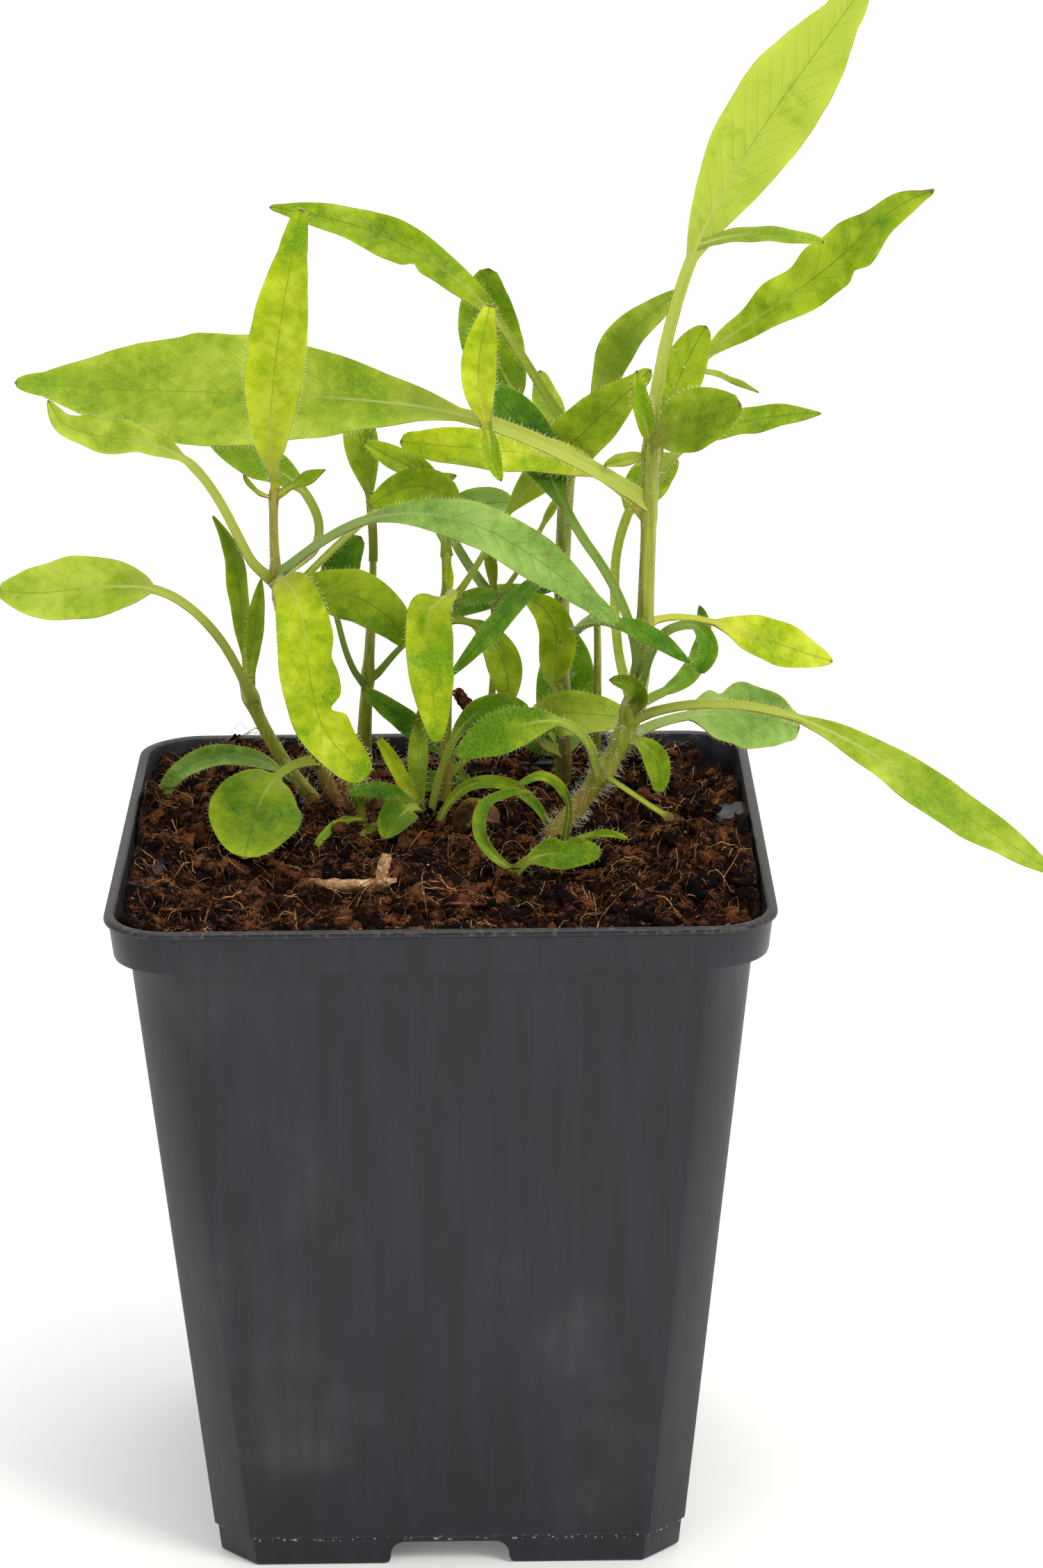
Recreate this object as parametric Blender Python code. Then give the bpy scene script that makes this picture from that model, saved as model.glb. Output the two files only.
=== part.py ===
"""Potted coreopsis: a young bushy plant in a square nursery pot.

Every length below is in millimetres. Heights are measured from the surface the pot stands on, and
the places of stems and leaves from the pot's own axis. The finished meshes are in metres, +Z up, with
the front of the pot facing -Y and the origin under the middle of the whole plant's bounding box.
"""

import math
from dataclasses import dataclass

import bmesh
import bpy
from mathutils import Vector

MM = 0.001

# Where the pot's axis stands in the finished frame, whose origin is the middle of the bounding box.
AXIS_X = -11.5
AXIS_Y = 0.0

# Pot: outside half-widths and heights
POT_HEIGHT = 98.5
RIM_HALF = 45.0
BAND_HALF_TOP = 44.4
BAND_HALF_BOTTOM = 43.9
BAND_BOTTOM = 92.4
BEAD_HEIGHT = 1.0
BODY_HALF_TOP = 41.7
BODY_HALF_BOTTOM = 32.7
FOOT_BAND = 4.3
FOOT_INSET = 0.4
WALL = 0.9
FLOOR = 1.0
EDGE_EASE = 0.35
BAND_STEP = 0.4
INNER_CORNER_LOSS = 0.8
RIM_CORNER = 9.0
BODY_CORNER_TOP = 6.4
BODY_CORNER_BOTTOM = 5.2
CORNER_STEPS = 6

# How square a corner is cut (0 is a full arc, 1 a flat chamfer) and how that chamfer's points spread
BODY_FLATNESS_BOTTOM = 0.9
BODY_FLATNESS_TOP = 0.5
CHAMFER_SPREAD = (0.0, 0.08, 0.2, 0.5, 0.8, 0.92, 1.0)
CHAMFER_EASE = 0.03

# Pot: water channels under the floor, drain holes and stacking lugs
CHANNEL_WIDTH = 16.6
CHANNEL_HEIGHT = 3.6
CHANNEL_ROUND = 2.0
DRAIN_RADIUS = 3.5
DRAIN_SPACING = 19.0
LUG_WIDTH = 37.0
LUG_DEPTH = 1.6
LUG_BOTTOM = 88.0
LUG_TOP = 96.6
LUG_UNDERCUT = 2.0
LUG_ROOT = 6.0

# How far a cutter runs past the surface that it cuts, and the points of its round stretches
CUT_OVERRUN = 3.0
CHANNEL_OVERRUN = 10.0
ROUND_STEPS = 3
DRAIN_SIDES = 12

# Quarter turns as (cosine, sine)
QUARTER_TURNS = ((1, 0), (0, 1), (-1, 0), (0, -1))

# Soil
CLEARANCE = 0.35
SOIL_EDGE_HEIGHT = 93.3
SOIL_CROWN = 1.6
SOIL_CROWN_RADIUS = 17.0
SOIL_SHOULDER = 86.0
SOIL_SHRINKAGE = 2.3
SOIL_RINGS = (0.9, 0.72, 0.52, 0.32, 0.14)
SOIL_SHOULDER_RISE = 1.0
SOIL_EDGE_DROP = 0.6
SOIL_BACK_FALL = 0.012
SOIL_RIPPLE = 0.25
SOIL_RIPPLE_X = 6.0
SOIL_RIPPLE_Y = 7.0

# Growth
SEAT_GAP = 0.6
ROOT_GAP = 0.45
ROOT_RISE = 1.2
STEM_SIDES = 8
LEAF_THICKNESS = 0.8
BROAD_LEAF = 3.0
LEAF_CUP = 0.16
BROAD_STATIONS = (-1.0, -0.5, 0.0, 0.5, 1.0)
NARROW_STATIONS = (-1.0, 0.0, 1.0)
ROW_SPACING = 3.6
FEWEST_STEPS = 5
STALK_WIDTH = 1.3
TIP_WIDTH = 0.4
GROWN_IN = 1.2
SHEATH_SHARE = 0.05
TWIST_CARRY = 0.35
EDGE_THINNING = 0.98
SHARP_ANGLE = 35.0
UPPER_FACE_RISE = 0.6
SEAT_DEPTH_SHARE = 0.1
NARROW_STALK_SHARE = 0.6


@dataclass(frozen=True)
class Finish:
    """Colour (linear red, green, blue) and roughness of one kind of surface."""

    name: str
    colour: tuple
    roughness: float


POT_PLASTIC = Finish("anthracite_pot_plastic", (0.04, 0.04, 0.045), 0.45)
POTTING_SOIL = Finish("potting_soil", (0.06, 0.025, 0.012), 1.0)
BARK = Finish("bark", (0.32, 0.2, 0.12), 0.9)
STEM_GREEN = Finish("stem_green", (0.3, 0.36, 0.06), 0.55)
STEM_RED = Finish("stem_red_brown", (0.22, 0.11, 0.05), 0.6)
LEAF_FINISHES = {
    "young": Finish("leaf_young", (0.5, 0.62, 0.06), 0.5),
    "mid": Finish("leaf_mid", (0.22, 0.46, 0.03), 0.5),
    "pale": Finish("leaf_pale", (0.3, 0.44, 0.07), 0.55),
    "grey": Finish("leaf_grey_green", (0.15, 0.28, 0.07), 0.55),
    "dark": Finish("leaf_dark", (0.08, 0.2, 0.03), 0.5),
    "olive": Finish("leaf_olive", (0.2, 0.26, 0.02), 0.5),
    "brown": Finish("leaf_withered", (0.1, 0.05, 0.025), 0.8),
}


@dataclass(frozen=True)
class Stem:
    """A stem: where it stands in the soil, its length, and how it leans.

    lean and forward hold degrees at even steps from the base to the tip. A lean of 0 is upright, 90 points
    to +X and -90 to -X. A positive forward angle comes towards the pot's front.
    """

    name: str
    foot: tuple
    length: float
    lean: tuple
    forward: tuple
    thick: float
    thin: float
    finish: Finish = STEM_GREEN


@dataclass(frozen=True)
class Leaf:
    """A leaf: what carries it, the shape and tint of its blade, how it leans, and its size.

    at is the height on a stem, the length along a parent leaf, or the (x, y) place in the soil. A leaf that
    grows as one with its neighbour names that neighbour's node. lean and forward are as for a stem.
    """

    name: str
    carrier: str
    at: object
    shape: str
    tint: str
    lean: tuple
    forward: tuple
    stalk: float
    blade: float
    width: float
    node: str = ""
    roll: float = 0.0


# How far along the blade each shape is widest, and how full its outline is (less is fuller)
SHAPES = {
    "lance": (0.55, 0.85),
    "spoon": (0.57, 1.0),
    "oval": (0.5, 0.6),
    "strap": (0.5, 0.4),
}

STEMS = (
    Stem("stem_right", (16.2, 4), 62, (37, 32, 9, 2, 2, 2), (8, 6, 2, 0, -4), 2.6, 2.0),
    Stem("stem_left_red", (-15.5, 20), 51, (-20, -13, -5, 4), (8, 9, 9, 8), 2.1, 1.3, STEM_RED),
    Stem("stem_left_green", (-19, 24), 21, (-38, -28, -15), (4, 2, 0), 1.9, 1.8),
    Stem("stem_centre_left", (-11.6, 33), 36, (-2, 5, 4, 2), (8, 7, 4), 2.4, 1.3),
    Stem("stem_centre", (0.2, 21), 46, (2, 1, 0), (10, 10, 8), 2.0, 1.5),
    Stem("stem_back", (17.5, 27), 53, (0, 0, 6), (1, 1, 0), 2.1, 2.0),
    Stem("stem_back_pale", (22, 23), 31, (2, 1, -2), (10, 10, 6), 1.7, 1.2),
)

LEAVES = (
    # Right stem, around its top
    Leaf("tall_right_leaf", "stem_right", 155, "lance", "pale",
         lean=(8, 17, 31, 37, 37), forward=(-14, -10, -8), stalk=21, blade=46, width=12),
    Leaf("tall_right_lobe", "tall_right_leaf", 25, "strap", "pale", node="tall_right_leaf",
         lean=(65, 88, 105), forward=(20, 14, 0), stalk=1, blade=17, width=2.2),
    Leaf("wavy_right_leaf", "stem_right", 149, "lance", "mid",
         lean=(14, 28, 58, 54, 42, 70), forward=(-34, -10, -2, 6, 12), stalk=16, blade=41, width=7.5),
    Leaf("upright_right_leaf", "stem_right", 151, "oval", "mid",
         lean=(14, 22, 34), forward=(-22, -20, -14), stalk=4, blade=15.5, width=6.2),
    Leaf("thin_right_lobe", "upright_right_leaf", 13, "strap", "pale", node="upright_right_leaf",
         lean=(96, 112, 118), forward=(0, -2, 4), stalk=1, blade=10, width=0.9),
    Leaf("round_olive_leaf", "stem_right", 153, "oval", "olive",
         lean=(30, 62, 72), forward=(50, 22, 10), stalk=2, blade=13.5, width=8.6),
    Leaf("behind_olive_leaf", "stem_right", 147, "lance", "mid",
         lean=(32, 80, 92), forward=(-45, -18, -8), stalk=5, blade=23.5, width=4),
    Leaf("right_bract_tall", "stem_right", 152, "oval", "young", node="stem_right",
         lean=(-12, -12, -4), forward=(16, 10, 4), stalk=1, blade=11, width=2.6),
    Leaf("right_bract_low", "stem_right", 151, "oval", "olive", node="stem_right",
         lean=(-76, -96, -108), forward=(30, 20, 12), stalk=1, blade=6, width=1.9),
    Leaf("big_left_leaf", "stem_right", 145.5, "spoon", "pale",
         lean=(-52, -68, -88, -93, -90, -84), forward=(14, -6, -20, -24, -10, 0),
         stalk=23, blade=70, width=16.5),
    Leaf("big_left_lobe", "big_left_leaf", 24, "oval", "young", node="big_left_leaf",
         lean=(-14, -4, 10, 14), forward=(35, 16, 4), stalk=1, blade=18, width=4.8),
    Leaf("big_left_curl", "big_left_leaf", 24, "oval", "young", node="big_left_leaf",
         lean=(165, 170, 150), forward=(55, 30, 20), stalk=1, blade=8, width=2.4),
    Leaf("yellow_cross_leaf", "stem_right", 143, "strap", "young",
         lean=(-45, -82, -84), forward=(-45, 10, 0), stalk=9, blade=28, width=6),
    # Right stem, its middle and foot
    Leaf("dark_green_leaf", "stem_right", 120, "lance", "dark",
         lean=(2, -20, -40, -26, -36, -52), forward=(26, -4, -38, -30, -18, -14),
         stalk=27, blade=24, width=7),
    Leaf("holed_back_leaf", "stem_right", 116, "oval", "mid",
         lean=(-26, -5, 3, 26, 60), forward=(-60, -8, -2), stalk=28, blade=10.5, width=6),
    Leaf("right_yellow_leaf", "stem_right", 127, "lance", "young",
         lean=(95, 112, 114, 108), forward=(-62, -34, -10, 0), stalk=13, blade=20, width=6.5),
    Leaf("hooked_right_leaf", "stem_right", 117.6, "strap", "dark",
         lean=(12, 18, 46, 150, 230), forward=(22, 6, 0, 10), stalk=14.4, blade=8, width=2.6),
    Leaf("olive_right_leaf", "stem_right", 115, "oval", "dark",
         lean=(85, 75, 20, -20), forward=(-60, -26, -8), stalk=5, blade=16, width=3, roll=25),
    Leaf("silvery_leaf", "stem_right", 111, "oval", "grey",
         lean=(70, 98, 112), forward=(-30, -20, -12), stalk=9, blade=17.5, width=9.6),
    Leaf("long_right_leaf", "stem_right", 114.5, "lance", "pale",
         lean=(54, 84, 110, 124, 122, 122), forward=(40, 16, 10, 8), stalk=22, blade=46, width=5.9),
    Leaf("folded_bract", "stem_right", 114, "oval", "olive", node="stem_right",
         lean=(28, -12, -90), forward=(50, 42, 10), stalk=2, blade=10, width=3),
    Leaf("hanging_right_leaf", "stem_right", 110, "oval", "mid", node="stem_right",
         lean=(66, 150, 200), forward=(30, 18, 10), stalk=2, blade=9, width=3.5),
    Leaf("cut_stalk", "stem_right", 105, "strap", "mid", node="stem_right",
         lean=(92, 112, 118, 112), forward=(62, 46, 30, 25), stalk=12, blade=2, width=1.3),
    Leaf("broad_front_leaf", "stem_right", 105.5, "lance", "mid",
         lean=(-14, -12, -46, -98, -112, -118), forward=(52, 34, 22, 10, 4),
         stalk=14, blade=16.5, width=6),
    # Back stems
    Leaf("hooked_top_leaf", "stem_back", 144, "lance", "pale",
         lean=(26, 10, 14, 44, 50), forward=(20, 30, 30, 20), stalk=7, blade=31, width=5.2),
    Leaf("arch_top_leaf", "stem_back", 148, "lance", "mid",
         lean=(-34, -30, -34, -50, -62, -74, -80), forward=(4, 6, 6), stalk=17, blade=40, width=5.8),
    Leaf("back_green_leaf", "stem_back", 146, "oval", "mid",
         lean=(-48, -25, 12), forward=(-20, -14, -6), stalk=9, blade=20, width=9),
    Leaf("pale_back_leaf", "stem_back", 144, "oval", "pale", node="stem_back",
         lean=(-20, -22, -8), forward=(-40, -36, -20), stalk=2, blade=13, width=4.4),
    Leaf("dark_lower_leaf", "stem_back", 100, "oval", "dark", node="stem_back",
         lean=(-55, -55, -50), forward=(5, 0, 0), stalk=1, blade=10, width=4),
    Leaf("bright_low_leaf", "stem_back", 101.5, "oval", "pale",
         lean=(-70, 20, 92, 96), forward=(40, 44, 14, 4), stalk=5, blade=19, width=6.5),
    Leaf("folded_back_leaf", "stem_back", 110.5, "oval", "mid",
         lean=(-40, 8, 4, -30, -70), forward=(55, 14, 4, 0), stalk=3, blade=16, width=5.4),
    Leaf("back_broad_leaf", "stem_back", 98, "oval", "dark",
         lean=(6, 2, -4), forward=(-62, -6, 0), stalk=2, blade=20, width=9),
    Leaf("dark_lance_leaf", "stem_back", 125.6, "lance", "dark",
         lean=(10, 0, -116, -134, -134, -134), forward=(60, 55, 40, 25, 15),
         stalk=10, blade=25.5, width=3),
    Leaf("dark_cross_leaf", "stem_back_pale", 123.6, "lance", "dark",
         lean=(-75, -60, 0, 80, 118, 128), forward=(66, 80, 74, 30, 12, 8),
         stalk=20.5, blade=15.5, width=2.8),
    # Centre stems
    Leaf("diagonal_leaf", "stem_centre", 127.5, "lance", "mid",
         lean=(36, 27, 38, 43, 45, 45), forward=(4, 8, 14, 12, 8), stalk=14, blade=31, width=7.6),
    Leaf("small_arch_leaf", "stem_centre", 141, "oval", "mid",
         lean=(-20, -64, -58), forward=(-8, -5, -4), stalk=1, blade=14, width=3.6),
    Leaf("folded_centre_leaf", "stem_centre", 134.5, "oval", "mid", node="stem_centre",
         lean=(-4, 2, -10, -80, -112, -128), forward=(40, 20, 10, 14, 8, 4), stalk=2, blade=19, width=5.2),
    Leaf("side_branch", "stem_centre", 99, "strap", "olive", node="stem_centre",
         lean=(56, 24, 6, 0, -2), forward=(-10, 6, 6), stalk=29, blade=2, width=1.7),
    Leaf("side_branch_grey", "side_branch", 29, "oval", "grey", node="stem_centre",
         lean=(-34, -36, -28, 30, 82, 95), forward=(-6, -4, 0), stalk=10, blade=12, width=5.5),
    Leaf("side_branch_olive", "side_branch", 30, "oval", "olive", node="stem_centre",
         lean=(0, -8, -14), forward=(6, 4, 0), stalk=1, blade=8, width=1.8),
    Leaf("side_branch_stalk", "side_branch", 29, "strap", "olive", node="stem_centre",
         lean=(44, 30, 28, 34), forward=(10, -6, -4), stalk=13, blade=6, width=1.2),
    Leaf("centre_node_yellow", "stem_centre", 127, "oval", "young", node="stem_centre",
         lean=(8, 2, 6), forward=(25, 12, 0), stalk=1, blade=5, width=1.5),
    Leaf("centre_node_dark", "stem_centre", 126, "oval", "dark", node="stem_centre",
         lean=(60, 70, 95), forward=(34, 8, -6), stalk=2, blade=6, width=2.2),
    Leaf("front_centre_leaf", "stem_centre", 126.6, "oval", "young",
         lean=(18, -30, -178, -186, -182), forward=(50, 80, 40, 20, 14), stalk=7, blade=27, width=6.6),
    Leaf("pale_hanging_leaf", "stem_centre", 124.2, "lance", "mid",
         lean=(82, 140, 168, 190), forward=(20, 12, 8), stalk=1.5, blade=15, width=5),
    Leaf("trumpet_leaf", "stem_centre_left", 132, "spoon", "olive",
         lean=(0, -9, -4), forward=(0, 0, 0), stalk=6, blade=18, width=5),
    Leaf("dark_oval_leaf", "stem_centre_left", 111, "oval", "dark",
         lean=(-30, -16, -10, 20, 44), forward=(48, 0, -12, -6), stalk=13, blade=12, width=5.5),
    Leaf("dark_side_leaf", "stem_centre_left", 112, "lance", "dark",
         lean=(38, 46, 64, 80, 88), forward=(4, 4, 6), stalk=6, blade=24, width=3.6),
    # Left stems
    Leaf("tall_left_leaf", "stem_left_red", 146, "lance", "young",
         lean=(-2, 8, 13), forward=(58, 27, 3), stalk=2, blade=49, width=8),
    Leaf("left_bract", "stem_left_red", 143, "strap", "young", node="stem_left_red",
         lean=(-70, -48, -20), forward=(35, 15, 5), stalk=1, blade=5, width=0.8),
    Leaf("left_bract_paddle", "stem_left_red", 143, "spoon", "young", node="stem_left_red",
         lean=(52, 58, 65), forward=(25, 15, 5), stalk=2, blade=7, width=1.9),
    Leaf("arch_front_leaf", "stem_left_red", 132, "lance", "grey",
         lean=(40, 44, 54, 76, 99, 119, 128, 130), forward=(46, 38, 26, 16, 12),
         stalk=21, blade=42.5, width=6.5),
    Leaf("second_left_leaf", "stem_left_red", 128, "oval", "pale",
         lean=(42, 50, 80), forward=(0, -6, -8), stalk=18, blade=12, width=2.4),
    Leaf("bright_broad_leaf", "stem_left_red", 128, "oval", "mid",
         lean=(46, 74, 98, 130, 152), forward=(54, 26, 16, 8), stalk=3, blade=21, width=7.4),
    Leaf("front_left_leaf", "stem_left_red", 130.6, "strap", "young",
         lean=(-4, 90, 166, 174, 168, 140, 130), forward=(66, 70, 34, 20, 18, 10),
         stalk=6, blade=34, width=8.2),
    Leaf("left_curled_leaf", "stem_left_red", 131.3, "lance", "pale",
         lean=(-48, -20, -24, -34, -62, -84, -70, -10), forward=(24, 12, 6, 8),
         stalk=21, blade=23.5, width=4.8),
    Leaf("left_back_leaf", "stem_left_red", 131, "lance", "pale",
         lean=(74, 56, -12, -40, -66, -68, -66), forward=(-50, -30, -12, -4),
         stalk=15, blade=17, width=5.5),
    Leaf("round_front_left_leaf", "stem_left_red", 103, "oval", "mid",
         lean=(-76, -125, -160, -165), forward=(44, 54, 60, 62), stalk=7.5, blade=16.5, width=13.2),
    Leaf("far_left_leaf", "stem_left_green", 111, "oval", "pale",
         lean=(-14, -26, -48, -88, -95, -78), forward=(28, 8, 6, 10), stalk=24, blade=22, width=9.4),
    Leaf("olive_upright_leaf", "stem_left_green", 110, "lance", "olive",
         lean=(-20, -4, -6, -38), forward=(-62, -6, -8), stalk=4, blade=25, width=3.2, roll=-18),
    Leaf("olive_small_leaf", "stem_left_green", 111, "lance", "olive", node="stem_left_green",
         lean=(4, 6, 10), forward=(-28, -12, -6), stalk=1, blade=16, width=2.6),
    # Crown and young growth from the soil
    Leaf("crown_olive_leaf", "soil", (-3.4, 14), "lance", "olive", node="crown_young_leaves",
         lean=(-4, 2, 4), forward=(-10, -62, -8), stalk=1, blade=16, width=3),
    Leaf("crown_long_leaf", "crown_olive_leaf", 1.5, "strap", "young", node="crown_young_leaves",
         lean=(-28, -24, -32), forward=(4, 8, 8), stalk=1, blade=12, width=2.2),
    Leaf("crown_flat_leaf", "crown_olive_leaf", 1.5, "oval", "dark", node="crown_young_leaves",
         lean=(-38, -62, -110), forward=(32, 24, 22), stalk=1, blade=12, width=2.6),
    Leaf("crown_short_leaf", "crown_olive_leaf", 1, "strap", "olive", node="crown_young_leaves",
         lean=(-78, -90, -94), forward=(42, 55, 62), stalk=1, blade=13, width=1.5),
    Leaf("crown_spoon_leaf", "crown_olive_leaf", 1.5, "oval", "mid", node="crown_young_leaves",
         lean=(-20, -90, -150), forward=(62, 70, 50), stalk=5.5, blade=9, width=5),
    Leaf("dried_brown_leaf", "soil", (2.6, 7.2), "strap", "brown",
         lean=(20, 70, 120), forward=(30, 50, 60), stalk=1, blade=9, width=3.6),
    Leaf("spoon_leaf", "soil", (-1.6, 12.4), "oval", "mid",
         lean=(8, 16, 26, 60, 120), forward=(8, 12, 6), stalk=14, blade=12, width=3.2, roll=-15),
    Leaf("strap_leaf", "soil", (-0.4, 9.6), "strap", "mid",
         lean=(20, 40, 76, 110, 136, 158), forward=(6, 12, 14), stalk=4, blade=17.5, width=1.9),
    Leaf("seedling_loop", "soil", (13.0, -15.4), "lance", "mid", node="front_seedling_leaves",
         lean=(-80, -62, -34, 20, 84, 96), forward=(-10, -28, -6),
         stalk=3, blade=18.5, width=1.9, roll=-15),
    Leaf("seedling_blade", "seedling_loop", 4, "oval", "mid", node="front_seedling_leaves",
         lean=(30, 82, 88), forward=(30, 14, 12), stalk=3, blade=10.5, width=4.6),
    Leaf("curl_strap_leaf", "soil", (17.2, -2.6), "strap", "mid",
         lean=(6, 4, -45, -135), forward=(22, 20, 20), stalk=8.5, blade=10, width=1.5, roll=-15),
    Leaf("low_right_stalk", "curl_strap_leaf", 1.5, "strap", "mid", node="curl_strap_leaf",
         lean=(58, 74, 112), forward=(6, 22, 28), stalk=1, blade=9, width=1.1),
    Leaf("back_left_strap_leaf", "soil", (-20, 27), "strap", "grey",
         lean=(-34, -60, -76, -100, -128, -160), forward=(-4, 0, 16), stalk=8, blade=18, width=3.2),
    Leaf("left_young_upper", "soil", (-11.5, 12), "strap", "olive", node="left_young_leaves",
         lean=(-10, -24, -78), forward=(2, 6, 0), stalk=1, blade=11, width=1.6),
    Leaf("left_young_lower", "left_young_upper", 1, "strap", "mid", node="left_young_leaves",
         lean=(-64, -82, -114, -145), forward=(42, 60, 60, 50), stalk=1, blade=12.5, width=1.4),
    Leaf("withered_strand", "soil", (-13.4, 14.5), "strap", "brown", node="withered_strands",
         lean=(-14, -6, 8), forward=(0, 4, 8), stalk=1, blade=9, width=0.9),
    Leaf("withered_strap", "withered_strand", 1, "strap", "brown", node="withered_strands",
         lean=(52, 70, 84), forward=(6, 10, 4), stalk=1, blade=7.4, width=1.9),
    Leaf("low_dark_upright", "soil", (4, 28), "oval", "dark", node="low_dark_leaves",
         lean=(-30, -48, -52), forward=(2, 6, 0), stalk=8.6, blade=14, width=3.5),
    Leaf("low_dark_flat", "low_dark_upright", 1.5, "oval", "dark", node="low_dark_leaves",
         lean=(-50, -85, -95), forward=(38, 18, 4), stalk=2, blade=10, width=3),
)

# Bark: a bent chip lying flat on the soil, and a splinter standing up from its end
CHIP_START = (-18.5, -17.0)
CHIP_LENGTH = 14.0
CHIP_HEADING = -28.0
CHIP_BEND = 55.0
CHIP_WIDTH = 2.8
CHIP_THICKNESS = 1.5
CHIP_LIFT = 1.8
SPLINTER_LENGTH = 4.5
SPLINTER_WIDTH = 1.3
SPLINTER_THICKNESS = 1.0
SPLINTER_LEAN = (14.0, -16.0)
BAR_END_TAPER = 0.7
BAR_FACING = (0.1, 1.0, 1.0)
CHIP_STEPS = 4


def clear_scene():
    """Remove every object that the scene starts with."""
    for thing in list(bpy.data.objects):
        bpy.data.objects.remove(thing, do_unlink=True)


def make_material(finish):
    """Return the Principled material of one finish, made on first use."""
    material = bpy.data.materials.get(finish.name)
    if material is not None:
        return material
    material = bpy.data.materials.new(finish.name)
    material.use_nodes = True
    shader = material.node_tree.nodes["Principled BSDF"]
    shader.inputs["Base Color"].default_value = (*finish.colour, 1.0)
    shader.inputs["Roughness"].default_value = finish.roughness
    shader.inputs["Metallic"].default_value = 0.0
    material.diffuse_color = (*finish.colour, 1.0)
    return material


def add_object(name, bm, finish, smooth=True, twisted=False):
    """Turn a bmesh in millimetres about the pot's axis into a named object in metres.

    Twisted pieces have quads that aren't flat, so they are cut into triangles for clean unions.
    """
    for vert in bm.verts:
        x, y, z = vert.co
        vert.co = ((x + AXIS_X) * MM, (y + AXIS_Y) * MM, z * MM)
    bmesh.ops.recalc_face_normals(bm, faces=bm.faces)
    if twisted:
        bmesh.ops.triangulate(bm, faces=bm.faces)
    mesh = bpy.data.meshes.new(name)
    bm.to_mesh(mesh)
    bm.free()
    if smooth:
        mesh.shade_smooth()
        mesh.set_sharp_from_angle(angle=math.radians(SHARP_ANGLE))
    thing = bpy.data.objects.new(name, mesh)
    bpy.context.scene.collection.objects.link(thing)
    mesh.materials.append(make_material(finish))
    return thing


def apply_boolean(target, cutter, operation):
    """Combine the target with the cutter, which stays in the file as a hidden guide."""
    modifier = target.modifiers.new(f"{operation.lower()}_{cutter.name}", "BOOLEAN")
    modifier.operation = operation
    modifier.solver = "EXACT"
    modifier.object = cutter
    cutter.hide_render = True
    cutter.display_type = "WIRE"


def skin_rings(bm, rings):
    """Join equal rings of points with quads and close both ends."""
    loops = [[bm.verts.new(point) for point in ring] for ring in rings]
    count = len(loops[0])
    for lower, upper in zip(loops, loops[1:]):
        for i in range(count):
            j = (i + 1) % count
            bm.faces.new((lower[i], lower[j], upper[j], upper[i]))
    bm.faces.new(list(reversed(loops[0])))
    bm.faces.new(loops[-1])


# ---------------------------------------------------------------- pot and soil


def corner_points(half, corner, flatness):
    """Return the points of one corner, between a round one and a flat chamfer with eased ends."""
    points = []
    for step in range(CORNER_STEPS + 1):
        angle = math.radians(90.0 * step / CORNER_STEPS)
        arc = (half - corner + corner * math.cos(angle), half - corner + corner * math.sin(angle))
        along = CHAMFER_SPREAD[step]
        flat = (half - corner * along, half - corner * (1.0 - along))
        if step in (0, CORNER_STEPS):
            flat = arc
        if step in (1, CORNER_STEPS - 1):
            flat = (flat[0] - corner * CHAMFER_EASE, flat[1] - corner * CHAMFER_EASE)
        points.append(
            (arc[0] + (flat[0] - arc[0]) * flatness, arc[1] + (flat[1] - arc[1]) * flatness)
        )
    return points


def square_ring(half, corner, flatness, z):
    """Return a square outline with four equal corners at height z."""
    ring = []
    for turn in range(4):
        cos, sin = QUARTER_TURNS[turn]
        for x, y in corner_points(half, corner, flatness):
            ring.append((x * cos - y * sin, x * sin + y * cos, z))
    return ring


def body_half(z):
    """Return the outside half-width of the pot's tapered body at height z."""
    return BODY_HALF_BOTTOM + (BODY_HALF_TOP - BODY_HALF_BOTTOM) * z / BAND_BOTTOM


def body_corner(z):
    """Return the size of the body's corner chamfer at height z."""
    return BODY_CORNER_BOTTOM + (BODY_CORNER_TOP - BODY_CORNER_BOTTOM) * z / BAND_BOTTOM


def inner_ring(z, gap=0.0):
    """Return the outline of the pot's hollow at height z, made smaller by gap."""
    half = body_half(z) - WALL - gap
    flatness = BODY_FLATNESS_BOTTOM + (BODY_FLATNESS_TOP - BODY_FLATNESS_BOTTOM) * z / BAND_BOTTOM
    return square_ring(half, body_corner(z), flatness, z)


def pot_shell_rings():
    """Return the outside of the pot as rings from the feet to the rim."""
    foot = body_half(0.0) - FOOT_INSET
    step = body_half(FOOT_BAND)
    bead_low = POT_HEIGHT - BEAD_HEIGHT
    return [
        square_ring(foot, BODY_CORNER_BOTTOM, BODY_FLATNESS_BOTTOM, 0.0),
        square_ring(step - FOOT_INSET, BODY_CORNER_BOTTOM, BODY_FLATNESS_BOTTOM, FOOT_BAND),
        square_ring(step, BODY_CORNER_BOTTOM, BODY_FLATNESS_BOTTOM, FOOT_BAND + EDGE_EASE),
        square_ring(BODY_HALF_TOP, BODY_CORNER_TOP, BODY_FLATNESS_TOP, BAND_BOTTOM),
        square_ring(BAND_HALF_BOTTOM - BAND_STEP, RIM_CORNER - BAND_STEP, 0.0, BAND_BOTTOM),
        square_ring(BAND_HALF_BOTTOM, RIM_CORNER, 0.0, BAND_BOTTOM + BAND_STEP),
        square_ring(BAND_HALF_TOP, RIM_CORNER, 0.0, bead_low),
        square_ring(RIM_HALF, RIM_CORNER, 0.0, bead_low + EDGE_EASE),
        square_ring(RIM_HALF, RIM_CORNER, 0.0, POT_HEIGHT - EDGE_EASE),
        square_ring(RIM_HALF - EDGE_EASE, RIM_CORNER, 0.0, POT_HEIGHT),
    ]


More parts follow.
